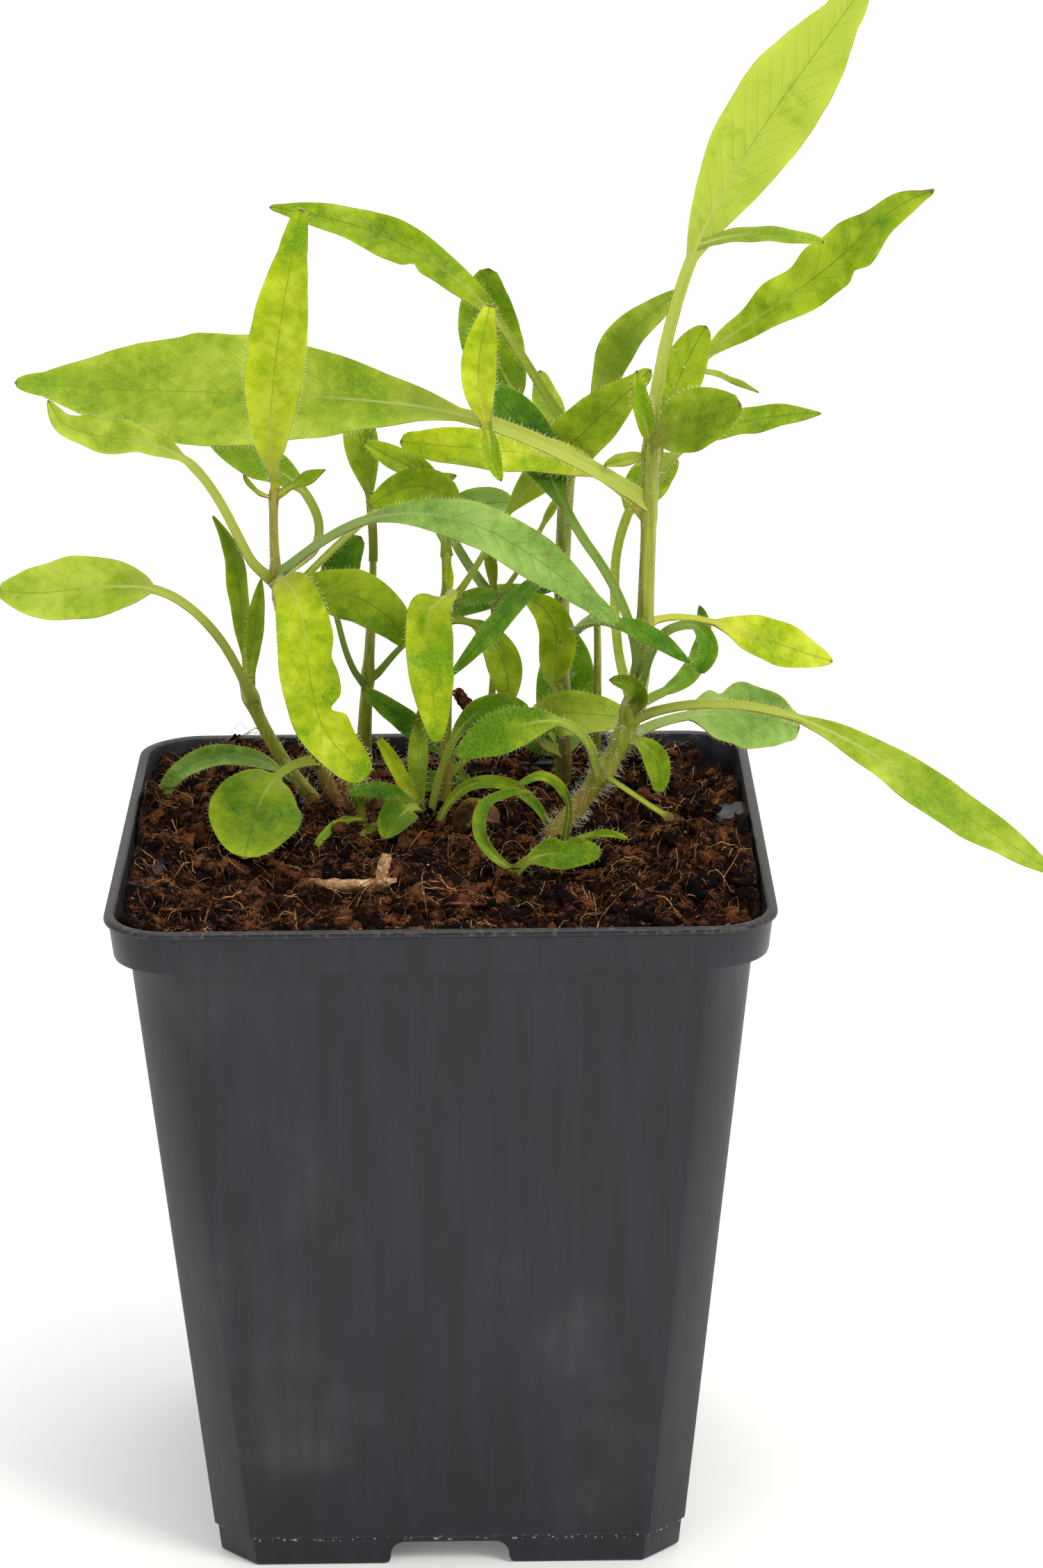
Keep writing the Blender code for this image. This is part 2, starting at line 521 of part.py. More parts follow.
def pot_hollow_rings():
    """Return the inside of the pot as rings from its floor to above the rim."""
    shelf = BAND_BOTTOM + WALL
    corner = RIM_CORNER - INNER_CORNER_LOSS
    mouth = BAND_HALF_TOP - WALL
    return [
        inner_ring(FLOOR),
        inner_ring(shelf - BAND_STEP),
        square_ring(BAND_HALF_BOTTOM - WALL, corner, 0.0, shelf),
        square_ring(mouth, corner, 0.0, POT_HEIGHT - BEAD_HEIGHT),
        square_ring(mouth, corner, 0.0, POT_HEIGHT + CUT_OVERRUN),
    ]


def channel_bar(name, along_x, grow):
    """Return a round-topped bar that runs under the floor, grown by a wall's thickness."""
    half = CHANNEL_WIDTH / 2 + grow
    top = CHANNEL_HEIGHT + grow
    radius = CHANNEL_ROUND + grow / 2
    profile = [(-half, -CUT_OVERRUN), (half, -CUT_OVERRUN)]
    for side, start in ((1, 0.0), (-1, 90.0)):
        for step in range(ROUND_STEPS + 1):
            angle = math.radians(start + 90.0 * step / ROUND_STEPS)
            centre = side * (half - radius)
            profile.append((centre + radius * math.cos(angle), top - radius + radius * math.sin(angle)))
    reach = RIM_HALF + CHANNEL_OVERRUN
    rings = []
    for end in (-reach, reach):
        if along_x:
            rings.append([(end, u, z) for u, z in profile])
        else:
            rings.append([(u, end, z) for u, z in profile])
    bm = bmesh.new()
    skin_rings(bm, rings)
    return add_object(name, bm, POT_PLASTIC, smooth=False)


def drain_pin(name, x, y):
    """Return an upright cylinder that cuts one drain hole through the raised floor."""
    rings = []
    for z in (-CUT_OVERRUN, CHANNEL_HEIGHT + FLOOR + CUT_OVERRUN):
        ring = []
        for i in range(DRAIN_SIDES):
            angle = 2 * math.pi * i / DRAIN_SIDES
            ring.append((x + DRAIN_RADIUS * math.cos(angle), y + DRAIN_RADIUS * math.sin(angle), z))
        rings.append(ring)
    bm = bmesh.new()
    skin_rings(bm, rings)
    return add_object(name, bm, POT_PLASTIC, smooth=False)


def lug_block(name, turn):
    """Return the block that one stacking lug is left from, inside the wall on one side."""
    half = LUG_WIDTH / 2
    inner = body_half(LUG_BOTTOM) - WALL - LUG_DEPTH
    outer = body_half(LUG_BOTTOM) - WALL + LUG_ROOT
    profile = (
        (inner, LUG_BOTTOM + LUG_UNDERCUT),
        (outer, LUG_BOTTOM - LUG_UNDERCUT),
        (outer, LUG_TOP),
        (inner, LUG_TOP),
    )
    cos, sin = QUARTER_TURNS[turn]
    rings = []
    for u in (-half, half):
        rings.append([(v * cos - u * sin, v * sin + u * cos, z) for v, z in profile])
    bm = bmesh.new()
    skin_rings(bm, rings)
    return add_object(name, bm, POT_PLASTIC, smooth=False)


def hollow_solid(name, rings):
    """Return a solid of the given rings with room left for the raised floor over the channels."""
    bm = bmesh.new()
    skin_rings(bm, rings)
    return add_object(name, bm, POT_PLASTIC, smooth=False)


def build_pot():
    """Build the pot: shell, hollow, floor channels, drain holes and stacking lugs."""
    bm = bmesh.new()
    skin_rings(bm, pot_shell_rings())
    pot = add_object("pot", bm, POT_PLASTIC)
    hollow = hollow_solid("guide_hollow", pot_hollow_rings())
    for turn in range(4):
        apply_boolean(hollow, lug_block(f"guide_lug_{turn}", turn), "DIFFERENCE")
    for along_x in (True, False):
        ridge = channel_bar(f"guide_ridge_{int(along_x)}", along_x, FLOOR)
        apply_boolean(hollow, ridge, "DIFFERENCE")
    apply_boolean(pot, hollow, "DIFFERENCE")
    for along_x in (True, False):
        channel = channel_bar(f"guide_channel_{int(along_x)}", along_x, 0.0)
        apply_boolean(pot, channel, "DIFFERENCE")
    spots = [(0.0, 0.0)]
    for step in (-DRAIN_SPACING, DRAIN_SPACING):
        spots += [(step, 0.0), (0.0, step)]
    for number, (x, y) in enumerate(spots):
        apply_boolean(pot, drain_pin(f"guide_drain_{number}", x, y), "DIFFERENCE")
    return pot


def soil_height(x, y):
    """Return the height of the soil's surface: a low mound at the crown, a little lower at the back."""
    crown = SOIL_CROWN * math.exp(-(x * x + y * y) / (2 * SOIL_CROWN_RADIUS**2))
    slope = -SOIL_BACK_FALL * y
    ripple = SOIL_RIPPLE * math.sin(x / SOIL_RIPPLE_X) * math.cos(y / SOIL_RIPPLE_Y)
    return SOIL_EDGE_HEIGHT + crown + slope + ripple


def build_soil():
    """Build the root ball of soil, clear of the pot's wall, floor ridges and lugs."""
    rings = [
        inner_ring(FLOOR + CLEARANCE, CLEARANCE),
        inner_ring(SOIL_SHOULDER, CLEARANCE),
        inner_ring(SOIL_SHOULDER + SOIL_SHOULDER_RISE, SOIL_SHRINKAGE),
    ]
    edge = inner_ring(SOIL_EDGE_HEIGHT, SOIL_SHRINKAGE)
    rings.append([(x, y, soil_height(x, y) - SOIL_EDGE_DROP) for x, y, _ in edge])
    for scale in SOIL_RINGS:
        rings.append([(x * scale, y * scale, soil_height(x * scale, y * scale)) for x, y, _ in edge])
    bm = bmesh.new()
    skin_rings(bm, rings)
    soil = add_object("soil", bm, POTTING_SOIL)
    for along_x in (True, False):
        bar = channel_bar(f"guide_soil_ridge_{int(along_x)}", along_x, FLOOR + CLEARANCE)
        apply_boolean(soil, bar, "DIFFERENCE")
    return soil


# ---------------------------------------------------------------- bark, stems and leaves


def bar_object(name, centres, width, thickness):
    """Build a flat bar along the given points, a little narrower at both ends."""
    rings = []
    for index, centre in enumerate(centres):
        before = centres[max(index - 1, 0)]
        after = centres[min(index + 1, len(centres) - 1)]
        along = (after - before).normalized()
        side = along.cross(Vector(BAR_FACING)).normalized() * (width / 2)
        up = side.cross(along).normalized() * (thickness / 2)
        taper = BAR_END_TAPER if index in (0, len(centres) - 1) else 1.0
        corners = ((-1, -1), (1, -1), (1, 1), (-1, 1))
        rings.append([centre + (side * a + up * b) * taper for a, b in corners])
    bm = bmesh.new()
    skin_rings(bm, rings)
    return add_object(name, bm, BARK, smooth=False, twisted=True)


def build_bark():
    """Build the bent bark chip with the splinter that stands up from its end."""
    x, y = CHIP_START
    centres = []
    for step in range(CHIP_STEPS + 1):
        centres.append(Vector((x, y, soil_height(x, y) + CHIP_LIFT)))
        heading = math.radians(CHIP_HEADING + CHIP_BEND * step / CHIP_STEPS)
        x += CHIP_LENGTH / CHIP_STEPS * math.cos(heading)
        y += CHIP_LENGTH / CHIP_STEPS * math.sin(heading)
    chip = bar_object("bark_chip", centres, CHIP_WIDTH, CHIP_THICKNESS)
    heading = direction(*SPLINTER_LEAN)
    upright = [centres[-2] + heading * (SPLINTER_LENGTH * part) for part in (0.0, 0.5, 1.0)]
    splinter = bar_object("guide_splinter", upright, SPLINTER_WIDTH, SPLINTER_THICKNESS)
    apply_boolean(chip, splinter, "UNION")
    return chip


def blend(values, part):
    """Return the value part of the way along some given at even steps from the base to the tip."""
    place = min(max(part, 0.0), 1.0) * (len(values) - 1)
    index = min(int(place), len(values) - 2)
    return values[index] + (values[index + 1] - values[index]) * (place - index)


def direction(lean, forward):
    """Return the unit direction of a growth from its lean and forward angles in degrees."""
    lean = math.radians(lean)
    forward = math.radians(forward)
    flat = math.cos(forward)
    return Vector((math.sin(lean) * flat, -math.sin(forward), math.cos(lean) * flat))


def grow(start, length, lean, forward):
    """Return the points of a growth that follows its angles from a starting point."""
    steps = max(FEWEST_STEPS, round(length / ROW_SPACING))
    points = [start.copy()]
    for step in range(steps):
        part = (step + 0.5) / steps
        heading = direction(blend(lean, part), blend(forward, part))
        points.append(points[-1] + heading * (length / steps))
    return points


def tangents(points):
    """Return the unit direction of a line of points at each of them."""
    result = []
    for index in range(len(points)):
        before = points[max(index - 1, 0)]
        after = points[min(index + 1, len(points) - 1)]
        result.append((after - before).normalized())
    return result


def soil_foot(x, y):
    """Return the point just above the soil where a growth stands."""
    return Vector((x, y, soil_height(x, y) + ROOT_GAP))


def rooted(foot, points):
    """Return the points with a short upright stretch at the foot, so that its end lies flat."""
    shift = Vector((0.0, 0.0, ROOT_RISE))
    return [foot] + [point + shift for point in points]


def build_stem(stem):
    """Build one stem as a round bar; returns its (point, diameter) rows for its leaves."""
    foot = soil_foot(*stem.foot)
    points = rooted(foot, grow(foot, stem.length, stem.lean, stem.forward))
    directions = tangents(points)
    directions[0] = Vector((0.0, 0.0, 1.0))
    last = len(points) - 1
    rows = []
    rings = []
    for index, (centre, along) in enumerate(zip(points, directions)):
        diameter = stem.thick + (stem.thin - stem.thick) * index / last
        across = (Vector((1.0, 0.0, 0.0)) - along * along.x).normalized()
        other = along.cross(across)
        ring = []
        for i in range(STEM_SIDES):
            angle = 2 * math.pi * i / STEM_SIDES
            ring.append(centre + (across * math.cos(angle) + other * math.sin(angle)) * (diameter / 2))
        rings.append(ring)
        rows.append((centre, diameter))
    bm = bmesh.new()
    skin_rings(bm, rings)
    add_object(stem.name, bm, stem.finish, twisted=True)
    return rows


def stem_spot(rows, height):
    """Return the point, diameter and direction of a stem at a height, and whether that is past its end."""
    for (low, low_width), (high, high_width) in zip(rows, rows[1:]):
        if low.z <= height <= high.z:
            part = (height - low.z) / (high.z - low.z)
            point = low + (high - low) * part
            return point, low_width + (high_width - low_width) * part, (high - low).normalized(), False
    (low, _), (high, width) = rows[-2:]
    return high, width, (high - low).normalized(), True


def home_node(leaf):
    """Return the node that a leaf belongs to: its neighbour's, or one of its own name."""
    return leaf.node or leaf.name


def seat(leaf, rows):
    """Return where a leaf starts: SEAT_GAP off its stem, or inside it when they grow as one."""
    point, diameter, along, past_end = stem_spot(rows, leaf.at)
    away = direction(leaf.lean[0], leaf.forward[0])
    if home_node(leaf) == leaf.carrier:
        if past_end:
            point = point - along * GROWN_IN
        return point + away * diameter * SEAT_DEPTH_SHARE
    if past_end:
        return point + along * (SEAT_GAP + leaf.width * SHEATH_SHARE)
    across = away - along * away.dot(along)
    return point + across.normalized() * (diameter / 2 + SEAT_GAP)


def blade_width(leaf, along):
    """Return the leaf's width at a length along it: its stalk's, then its blade's own outline."""
    stalk_width = min(STALK_WIDTH, leaf.width * NARROW_STALK_SHARE)
    if along <= leaf.stalk:
        return stalk_width
    part = min((along - leaf.stalk) / leaf.blade, 1.0)
    widest, fullness = SHAPES[leaf.shape]
    warped = part ** (math.log(0.5) / math.log(widest))
    outline = max(math.sin(math.pi * warped), 0.0) ** fullness
    return max(stalk_width * (1.0 - part), leaf.width * outline, TIP_WIDTH)


def leaf_rings(leaf, points, from_soil):
    """Return the closed cross-sections of one leaf from its base to its tip."""
    directions = tangents(points)
    if from_soil:
        directions[0] = Vector((0.0, 0.0, 1.0))
    roll = math.radians(leaf.roll)
    upper = Vector((math.sin(roll), -math.cos(roll), UPPER_FACE_RISE)).normalized()
    stations = BROAD_STATIONS if leaf.width >= BROAD_LEAF else NARROW_STATIONS
    length = leaf.stalk + leaf.blade
    last = len(points) - 1
    normal = upper
    rings = []
    for index, (centre, along) in enumerate(zip(points, directions)):
        wanted = upper + normal * TWIST_CARRY
        normal = (wanted - along * wanted.dot(along)).normalized()
        side = along.cross(normal)
        width = blade_width(leaf, length * index / last)
        thickness = min(LEAF_THICKNESS, width)
        cup = LEAF_CUP * width / 2
        top = []
        bottom = []
        for u in stations:
            base = centre + side * (u * width / 2) + normal * (cup * u * u)
            swell = normal * (thickness / 2 * (1.0 - EDGE_THINNING * u * u))
            if abs(u) == 1.0:
                top.append(base)
            else:
                top.append(base + swell)
                bottom.append(base - swell)
        rings.append(top + list(reversed(bottom)))
    return rings


def leaf_points(leaf, stems, grown):
    """Return the middle line of one leaf from its seat on a stem, on another leaf or in the soil."""
    length = leaf.stalk + leaf.blade
    if leaf.carrier == "soil":
        foot = soil_foot(*leaf.at)
        return rooted(foot, grow(foot, length, leaf.lean, leaf.forward))
    if leaf.carrier in stems:
        return grow(seat(leaf, stems[leaf.carrier]), length, leaf.lean, leaf.forward)
    return grow(point_along(grown[leaf.carrier], leaf.at), length, leaf.lean, leaf.forward)


def point_along(points, distance):
    """Return the point at a distance along a line of points."""
    for low, high in zip(points, points[1:]):
        step = (high - low).length
        if distance <= step:
            return low + (high - low) * (distance / step)
        distance -= step
    return points[-1]


def build_leaves(stems):
    """Build every leaf; one whose node exists already is grown into it by a union."""
    grown = {}
    for leaf in LEAVES:
        points = leaf_points(leaf, stems, grown)
        grown[leaf.name] = points
        node = home_node(leaf)
        parent = bpy.data.objects.get(node)
        name = node if parent is None else f"guide_{leaf.name}"
        bm = bmesh.new()
        skin_rings(bm, leaf_rings(leaf, points, leaf.carrier == "soil"))
        thing = add_object(name, bm, LEAF_FINISHES[leaf.tint], twisted=True)
        if parent is not None:
            apply_boolean(parent, thing, "UNION")


def build_plant():
    """Build the stems, then the leaves on them."""
    stems = {stem.name: build_stem(stem) for stem in STEMS}
    build_leaves(stems)


def main():
    """Build the whole object."""
    clear_scene()
    build_pot()
    build_soil()
    build_bark()
    build_plant()


main()
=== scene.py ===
"""Looks of a potted coreopsis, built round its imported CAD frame.

Lengths are in millimetres. Heights count from the surface the pot stands on, and places from the pot's
own axis, which the frame gives. The meshes are turned into metres in the frame as each piece is made.
"""

import logging
import math
import random
from dataclasses import dataclass, field
from enum import Enum

import bmesh
import bpy
from mathutils import Matrix, Vector, noise

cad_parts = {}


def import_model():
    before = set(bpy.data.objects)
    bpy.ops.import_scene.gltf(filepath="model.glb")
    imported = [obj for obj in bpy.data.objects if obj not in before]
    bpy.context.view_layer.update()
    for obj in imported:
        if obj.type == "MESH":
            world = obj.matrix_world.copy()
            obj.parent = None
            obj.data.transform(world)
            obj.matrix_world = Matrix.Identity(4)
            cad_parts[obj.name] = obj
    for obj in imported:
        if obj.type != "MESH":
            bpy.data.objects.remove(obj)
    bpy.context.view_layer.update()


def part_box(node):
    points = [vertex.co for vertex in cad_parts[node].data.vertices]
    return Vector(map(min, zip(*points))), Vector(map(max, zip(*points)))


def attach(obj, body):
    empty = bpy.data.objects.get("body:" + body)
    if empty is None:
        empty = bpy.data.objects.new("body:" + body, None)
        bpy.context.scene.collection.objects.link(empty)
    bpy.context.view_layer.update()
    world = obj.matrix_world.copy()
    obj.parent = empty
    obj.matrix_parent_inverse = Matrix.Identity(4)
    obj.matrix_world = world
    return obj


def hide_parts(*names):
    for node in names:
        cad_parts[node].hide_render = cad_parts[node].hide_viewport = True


LOG = logging.getLogger("potted_coreopsis")
MM = 0.001
UP = Vector((0.0, 0.0, 1.0))


# ---------------------------------------------------------------- materials


NodeTree = bpy.types.NodeTree
Socket = bpy.types.NodeSocket

# The inputs and the output of a mix node that is set to colours
FACTOR = 0
COLOUR_A = 6
COLOUR_B = 7
MIXED = 2

# What each point of a leaf holds for its finish
LEAF_VALUES = (
    "rib_mm", "edge_mm", "vein_turns", "stalk_share", "along_share", "underside", "tone", "red_margin", "brown"
)


def linear(hex_colour: str) -> tuple[float, float, float, float]:
    """Turn an sRGB hex colour into linear red, green, blue and alpha.

    Args:
        hex_colour: Six hex digits after a hash sign.

    Returns:
        The four linear values that Blender's colour sockets take.
    """
    values = []
    for start in (1, 3, 5):
        share = int(hex_colour[start : start + 2], 16) / 255.0
        values.append(share / 12.92 if share <= 0.04045 else ((share + 0.055) / 1.055) ** 2.4)
    return (*values, 1.0)


def per_metre(size: float) -> float:
    """Return the scale of a pattern whose features are size millimetres across."""
    return 1.0 / (size * MM)


def add_node(
    tree: NodeTree,
    kind: str,
    inputs: dict | None = None,
    out: int | str = 0,
    stops: tuple = (),
    **settings: object,
) -> Socket | None:
    """Add a node with its settings and links.

    Args:
        tree: The material's node tree.
        kind: Blender's name for the kind of node.
        inputs: A value, or an output socket to link from, for each input by its name or number.
        out: The output that is wanted, by its name or number.
        stops: The (place, hex colour) stops of a colour ramp.
        settings: The node's own properties.

    Returns:
        The wanted output, or None from a node that has no outputs.
    """
    node = tree.nodes.new(kind)
    for key, value in settings.items():
        setattr(node, key, value)
    for key, value in (inputs or {}).items():
        if isinstance(value, Socket):
            tree.links.new(value, node.inputs[key])
        else:
            node.inputs[key].default_value = value
    for index, (place, colour) in enumerate(stops):
        elements = node.color_ramp.elements
        element = elements[index] if index < 2 else elements.new(place)
        element.position = place
        element.color = linear(colour)
    return node.outputs[out] if node.outputs else None


class Finish:
    """A surface finish. Its material is made once, on first use, and is named after what it is."""

    name: str

    def material(self) -> bpy.types.Material:
        """Return the finish's material."""
        found = bpy.data.materials.get(self.name)
        if found is not None:
            return found
        material = bpy.data.materials.new(self.name)
        material.use_nodes = True
        tree = material.node_tree
        tree.nodes.clear()
        place = add_node(tree, "ShaderNodeTexCoord", out="Object")
        shader = add_node(tree, "ShaderNodeBsdfPrincipled", self.surface(tree, place))
        add_node(tree, "ShaderNodeOutputMaterial", {"Surface": shader})
        return material

    def surface(self, tree: NodeTree, place: Socket) -> dict:
        """Add the nodes of the surface.

        Args:
            tree: The material's node tree.
            place: Where on the piece a point is, in metres.

        Returns:
            The value or socket for each input of the shader.
        """
        raise NotImplementedError


@dataclass(frozen=True)
class LeafBlade(Finish):
    """Living leaf: green cells under a thin waxy skin, as grown.

    The skin gives a soft satin shine over a finely quilted relief, and green gathers in clouds. The midrib is
    cream near the stalk; towards the tip a dark line of painted shade runs in its groove, and the margin
    has a fine dark line.
    """

    name: str
    shade: str
    face: str
    light: str
    rib: str
    stalk: str
    margin: str = "#7d4426"
    dry: str = "#6a4427"
    roughness: float = 0.44
    quilt: float = 0.5

    # Each pattern's size in millimetres and its detail. Green gathers in clouds with a mottle in them.
    # Skin cells of 0.05 mm are too fine to show, so they are drawn 0.3 mm across.
    PATTERNS = (
        ("cloud", 9.0, 2.0), ("mottle", 1.6, 3.0), ("patches", 5.0, 2.0), ("skin", 0.3, 2.0), ("wax", 2.5, 2.0)
    )
    CELL = 0.75
    MOTTLE_WEIGHT = 0.5
    TONE_WEIGHT = 0.18
    CLOUD_SHARE = 2 / 3
    SHADE_STOP = 0.38
    FACE_STOP = 0.5
    LIGHT_STOP = 0.64
    STALK_STRENGTH = 0.85
    UNDERSIDE_STRENGTH = 0.4
    WAX_RANGE = (-0.07, 0.1)

    def surface(self, tree: NodeTree, place: Socket) -> dict:
        """Add the clouds, veins, ribs and margin of the leaf."""
        read = {
            value: add_node(tree, "ShaderNodeAttribute", out="Fac", attribute_name=value)
            for value in LEAF_VALUES
        }
        for pattern, size, detail in self.PATTERNS:
            sizes = {"Vector": place, "Scale": per_metre(size), "Detail": detail}
            read[pattern] = add_node(tree, "ShaderNodeTexNoise", sizes)
        read["cells"] = add_node(
            tree, "ShaderNodeTexVoronoi", {"Vector": place, "Scale": per_metre(self.CELL)},
            out="Distance", feature="DISTANCE_TO_EDGE",
        )
        read["turns"] = add_node(tree, "ShaderNodeMath", {0: read["vein_turns"], 1: 0.5}, operation="PINGPONG")
        mask = {}
        # Each mask follows a value from one place to another, and changes between two strengths on the way.
        for name, value, low, high, start, end, course in (
            ("net", "cells", 0.0, 0.09, 0.3, 0.0, "LINEAR"),
            ("vein", "turns", 0.0, 0.07, 1.0, 0.0, "SMOOTHSTEP"),
            ("inner", "edge_mm", 0.4, 1.8, 0.0, 0.2, "LINEAR"),
            # groove: a dark line of painted shade along the midrib's groove towards the tip
            ("groove", "rib_mm", 0.0, 0.16, 0.7, 0.0, "SMOOTHSTEP"),
            ("rib", "rib_mm", 0.05, 0.28, 1.0, 0.0, "SMOOTHSTEP"),
            ("rib_fade", "along_share", 0.05, 0.5, 0.8, 0.0, "LINEAR"),
            ("edge", "edge_mm", 0.03, 0.13, 0.75, 0.0, "LINEAR"),
            ("patchy", "patches", 0.38, 0.6, 0.0, 1.0, "LINEAR"),
            ("dry", "brown", 0.0, 0.5, 0.0, 0.85, "LINEAR"),
            ("pillow", "cells", 0.0, 0.3, 0.0, 1.0, "LINEAR"),
            ("rough", "wax", 0.3, 0.7, *(self.roughness + more for more in self.WAX_RANGE), "LINEAR"),
        ):
            limits = {"From Min": low, "From Max": high, "To Min": start, "To Max": end}
            mask[name] = add_node(
                tree, "ShaderNodeMapRange", {"Value": read[value], **limits}, interpolation_type=course
            )
        for name, first, second in (
            ("vein", mask["vein"], mask["inner"]),
            ("rib", mask["rib"], mask["rib_fade"]),
            ("stalk", read["stalk_share"], self.STALK_STRENGTH),
            ("under", read["underside"], self.UNDERSIDE_STRENGTH),
            ("patched", mask["edge"], mask["patchy"]),
        ):
            mask[name] = add_node(tree, "ShaderNodeMath", {0: first, 1: second}, operation="MULTIPLY")
        margin = {0: mask["patched"], 1: read["red_margin"]}
        mask["margin"] = add_node(tree, "ShaderNodeMath", margin, operation="MULTIPLY")
        cloud = read["cloud"]
        for value, weight in (("mottle", self.MOTTLE_WEIGHT), ("tone", self.TONE_WEIGHT)):
            terms = {0: read[value], 1: weight, 2: cloud}
            cloud = add_node(tree, "ShaderNodeMath", terms, operation="MULTIPLY_ADD")
        cloud = add_node(tree, "ShaderNodeMath", {0: cloud, 1: self.CLOUD_SHARE}, operation="MULTIPLY")
        stops = ((self.SHADE_STOP, self.shade), (self.LIGHT_STOP, self.light), (self.FACE_STOP, self.face))
        colour = add_node(tree, "ShaderNodeValToRGB", {"Fac": cloud}, stops=stops)
        for name, tint in (
            ("net", self.light),
            ("vein", self.shade),
            # The groove layer paints shade into the midrib's groove.
            ("groove", self.shade),
            ("rib", self.rib),
            ("stalk", self.stalk),
            ("under", self.light),
            ("margin", self.margin),
            ("dry", self.dry),
        ):
            layer = {FACTOR: mask[name], COLOUR_A: colour, COLOUR_B: linear(tint)}
            colour = add_node(tree, "ShaderNodeMix", layer, out=MIXED, data_type="RGBA")
        relief = mask["pillow"]
        for height, weight in ((read["skin"], 0.4), (mask["vein"], -6.0)):
            terms = {0: height, 1: weight, 2: relief}
            relief = add_node(tree, "ShaderNodeMath", terms, operation="MULTIPLY_ADD")
        bump = add_node(tree, "ShaderNodeBump", {"Height": relief, "Distance": 0.00007, "Strength": self.quilt})
        return {
            "Base Color": colour,
            "Roughness": mask["rough"],
            "Normal": bump,
            "IOR": 1.42,
            "Specular IOR Level": 0.16,
            "Subsurface Weight": 0.45,
            "Subsurface Radius": (0.9, 1.0, 0.25),
            "Subsurface Scale": 0.0008,
            "Sheen Weight": 0.05,
            "Sheen Roughness": 0.5,
        }


@dataclass(frozen=True)
class StemSkin(Finish):
    """Living stem: ribbed green tissue under a waxy skin, as grown.

    Long ribs catch the light in their bumps and in lighter upright streaks of painted highlight, and red pigment
    clouds the lower stretches.
    """

    name: str
    shade: str
    face: str
    blush: str
    blush_top: float

    RIB = 0.5
    RIB_STRETCH = (1.0, 1.0, 0.08)
    CLOUD = 3.5

    def surface(self, tree: NodeTree, place: Socket) -> dict:
        """Add the ribs and the red clouds of the stem."""
        height = add_node(tree, "ShaderNodeAttribute", out="Fac", attribute_name="along_share")
        long_place = add_node(tree, "ShaderNodeMapping", {"Vector": place, "Scale": self.RIB_STRETCH})
        ribs = {"Vector": long_place, "Scale": per_metre(self.RIB), "Detail": 3.0}
        fibres = add_node(tree, "ShaderNodeTexNoise", ribs)
        cloud = add_node(tree, "ShaderNodeTexNoise", {"Vector": place, "Scale": per_metre(self.CLOUD)})
        masks = []
        for value, low, high, start, end, course in (
            # Lighter upright streaks along the ribs: painted highlight on top of the bump
            (fibres, 0.35, 0.65, 0.0, 1.0, "LINEAR"),
            (cloud, 0.3, 0.6, 0.35, 1.0, "LINEAR"),
            (height, self.blush_top * 0.5, self.blush_top, 0.85, 0.06, "SMOOTHSTEP"),
        ):
            limits = {"From Min": low, "From Max": high, "To Min": start, "To Max": end}
            limits = {"Value": value, **limits}
            masks.append(add_node(tree, "ShaderNodeMapRange", limits, interpolation_type=course))
        spread, cloudy, low_down = masks
        blush = add_node(tree, "ShaderNodeMath", {0: cloudy, 1: low_down}, operation="MULTIPLY")
        colour = linear(self.shade)
        # The face colour of the streaks is a painted highlight on the ribs.
        for share, tint in ((spread, self.face), (blush, self.blush)):
            layer = {FACTOR: share, COLOUR_A: colour, COLOUR_B: linear(tint)}
            colour = add_node(tree, "ShaderNodeMix", layer, out=MIXED, data_type="RGBA")
        bump = add_node(tree, "ShaderNodeBump", {"Height": fibres, "Distance": 0.00012, "Strength": 0.6})
        return {
            "Base Color": colour,
            "Roughness": 0.46,
            "Normal": bump,
            "IOR": 1.42,
            "Subsurface Weight": 0.2,
            "Subsurface Radius": (1.0, 0.9, 0.3),
            "Subsurface Scale": 0.001,
        }


@dataclass(frozen=True)
class PlantHair(Finish):
    """Plant hair: clear dead cells on stems and margins, as grown. They show as fine pale threads."""

    name: str = "plant_hair"
    root: str = "#c9d0a4"
    tip: str = "#f2f4e8"

    def surface(self, tree: NodeTree, place: Socket) -> dict:
        """Add the change from the hair's root to its tip."""
        share = add_node(tree, "ShaderNodeAttribute", out="Fac", attribute_name="hair_share")
        ends = {FACTOR: share, COLOUR_A: linear(self.root), COLOUR_B: linear(self.tip)}
        colour = add_node(tree, "ShaderNodeMix", ends, out=MIXED, data_type="RGBA")
        return {"Base Color": colour, "Roughness": 0.4, "IOR": 1.5, "Sheen Weight": 0.2}


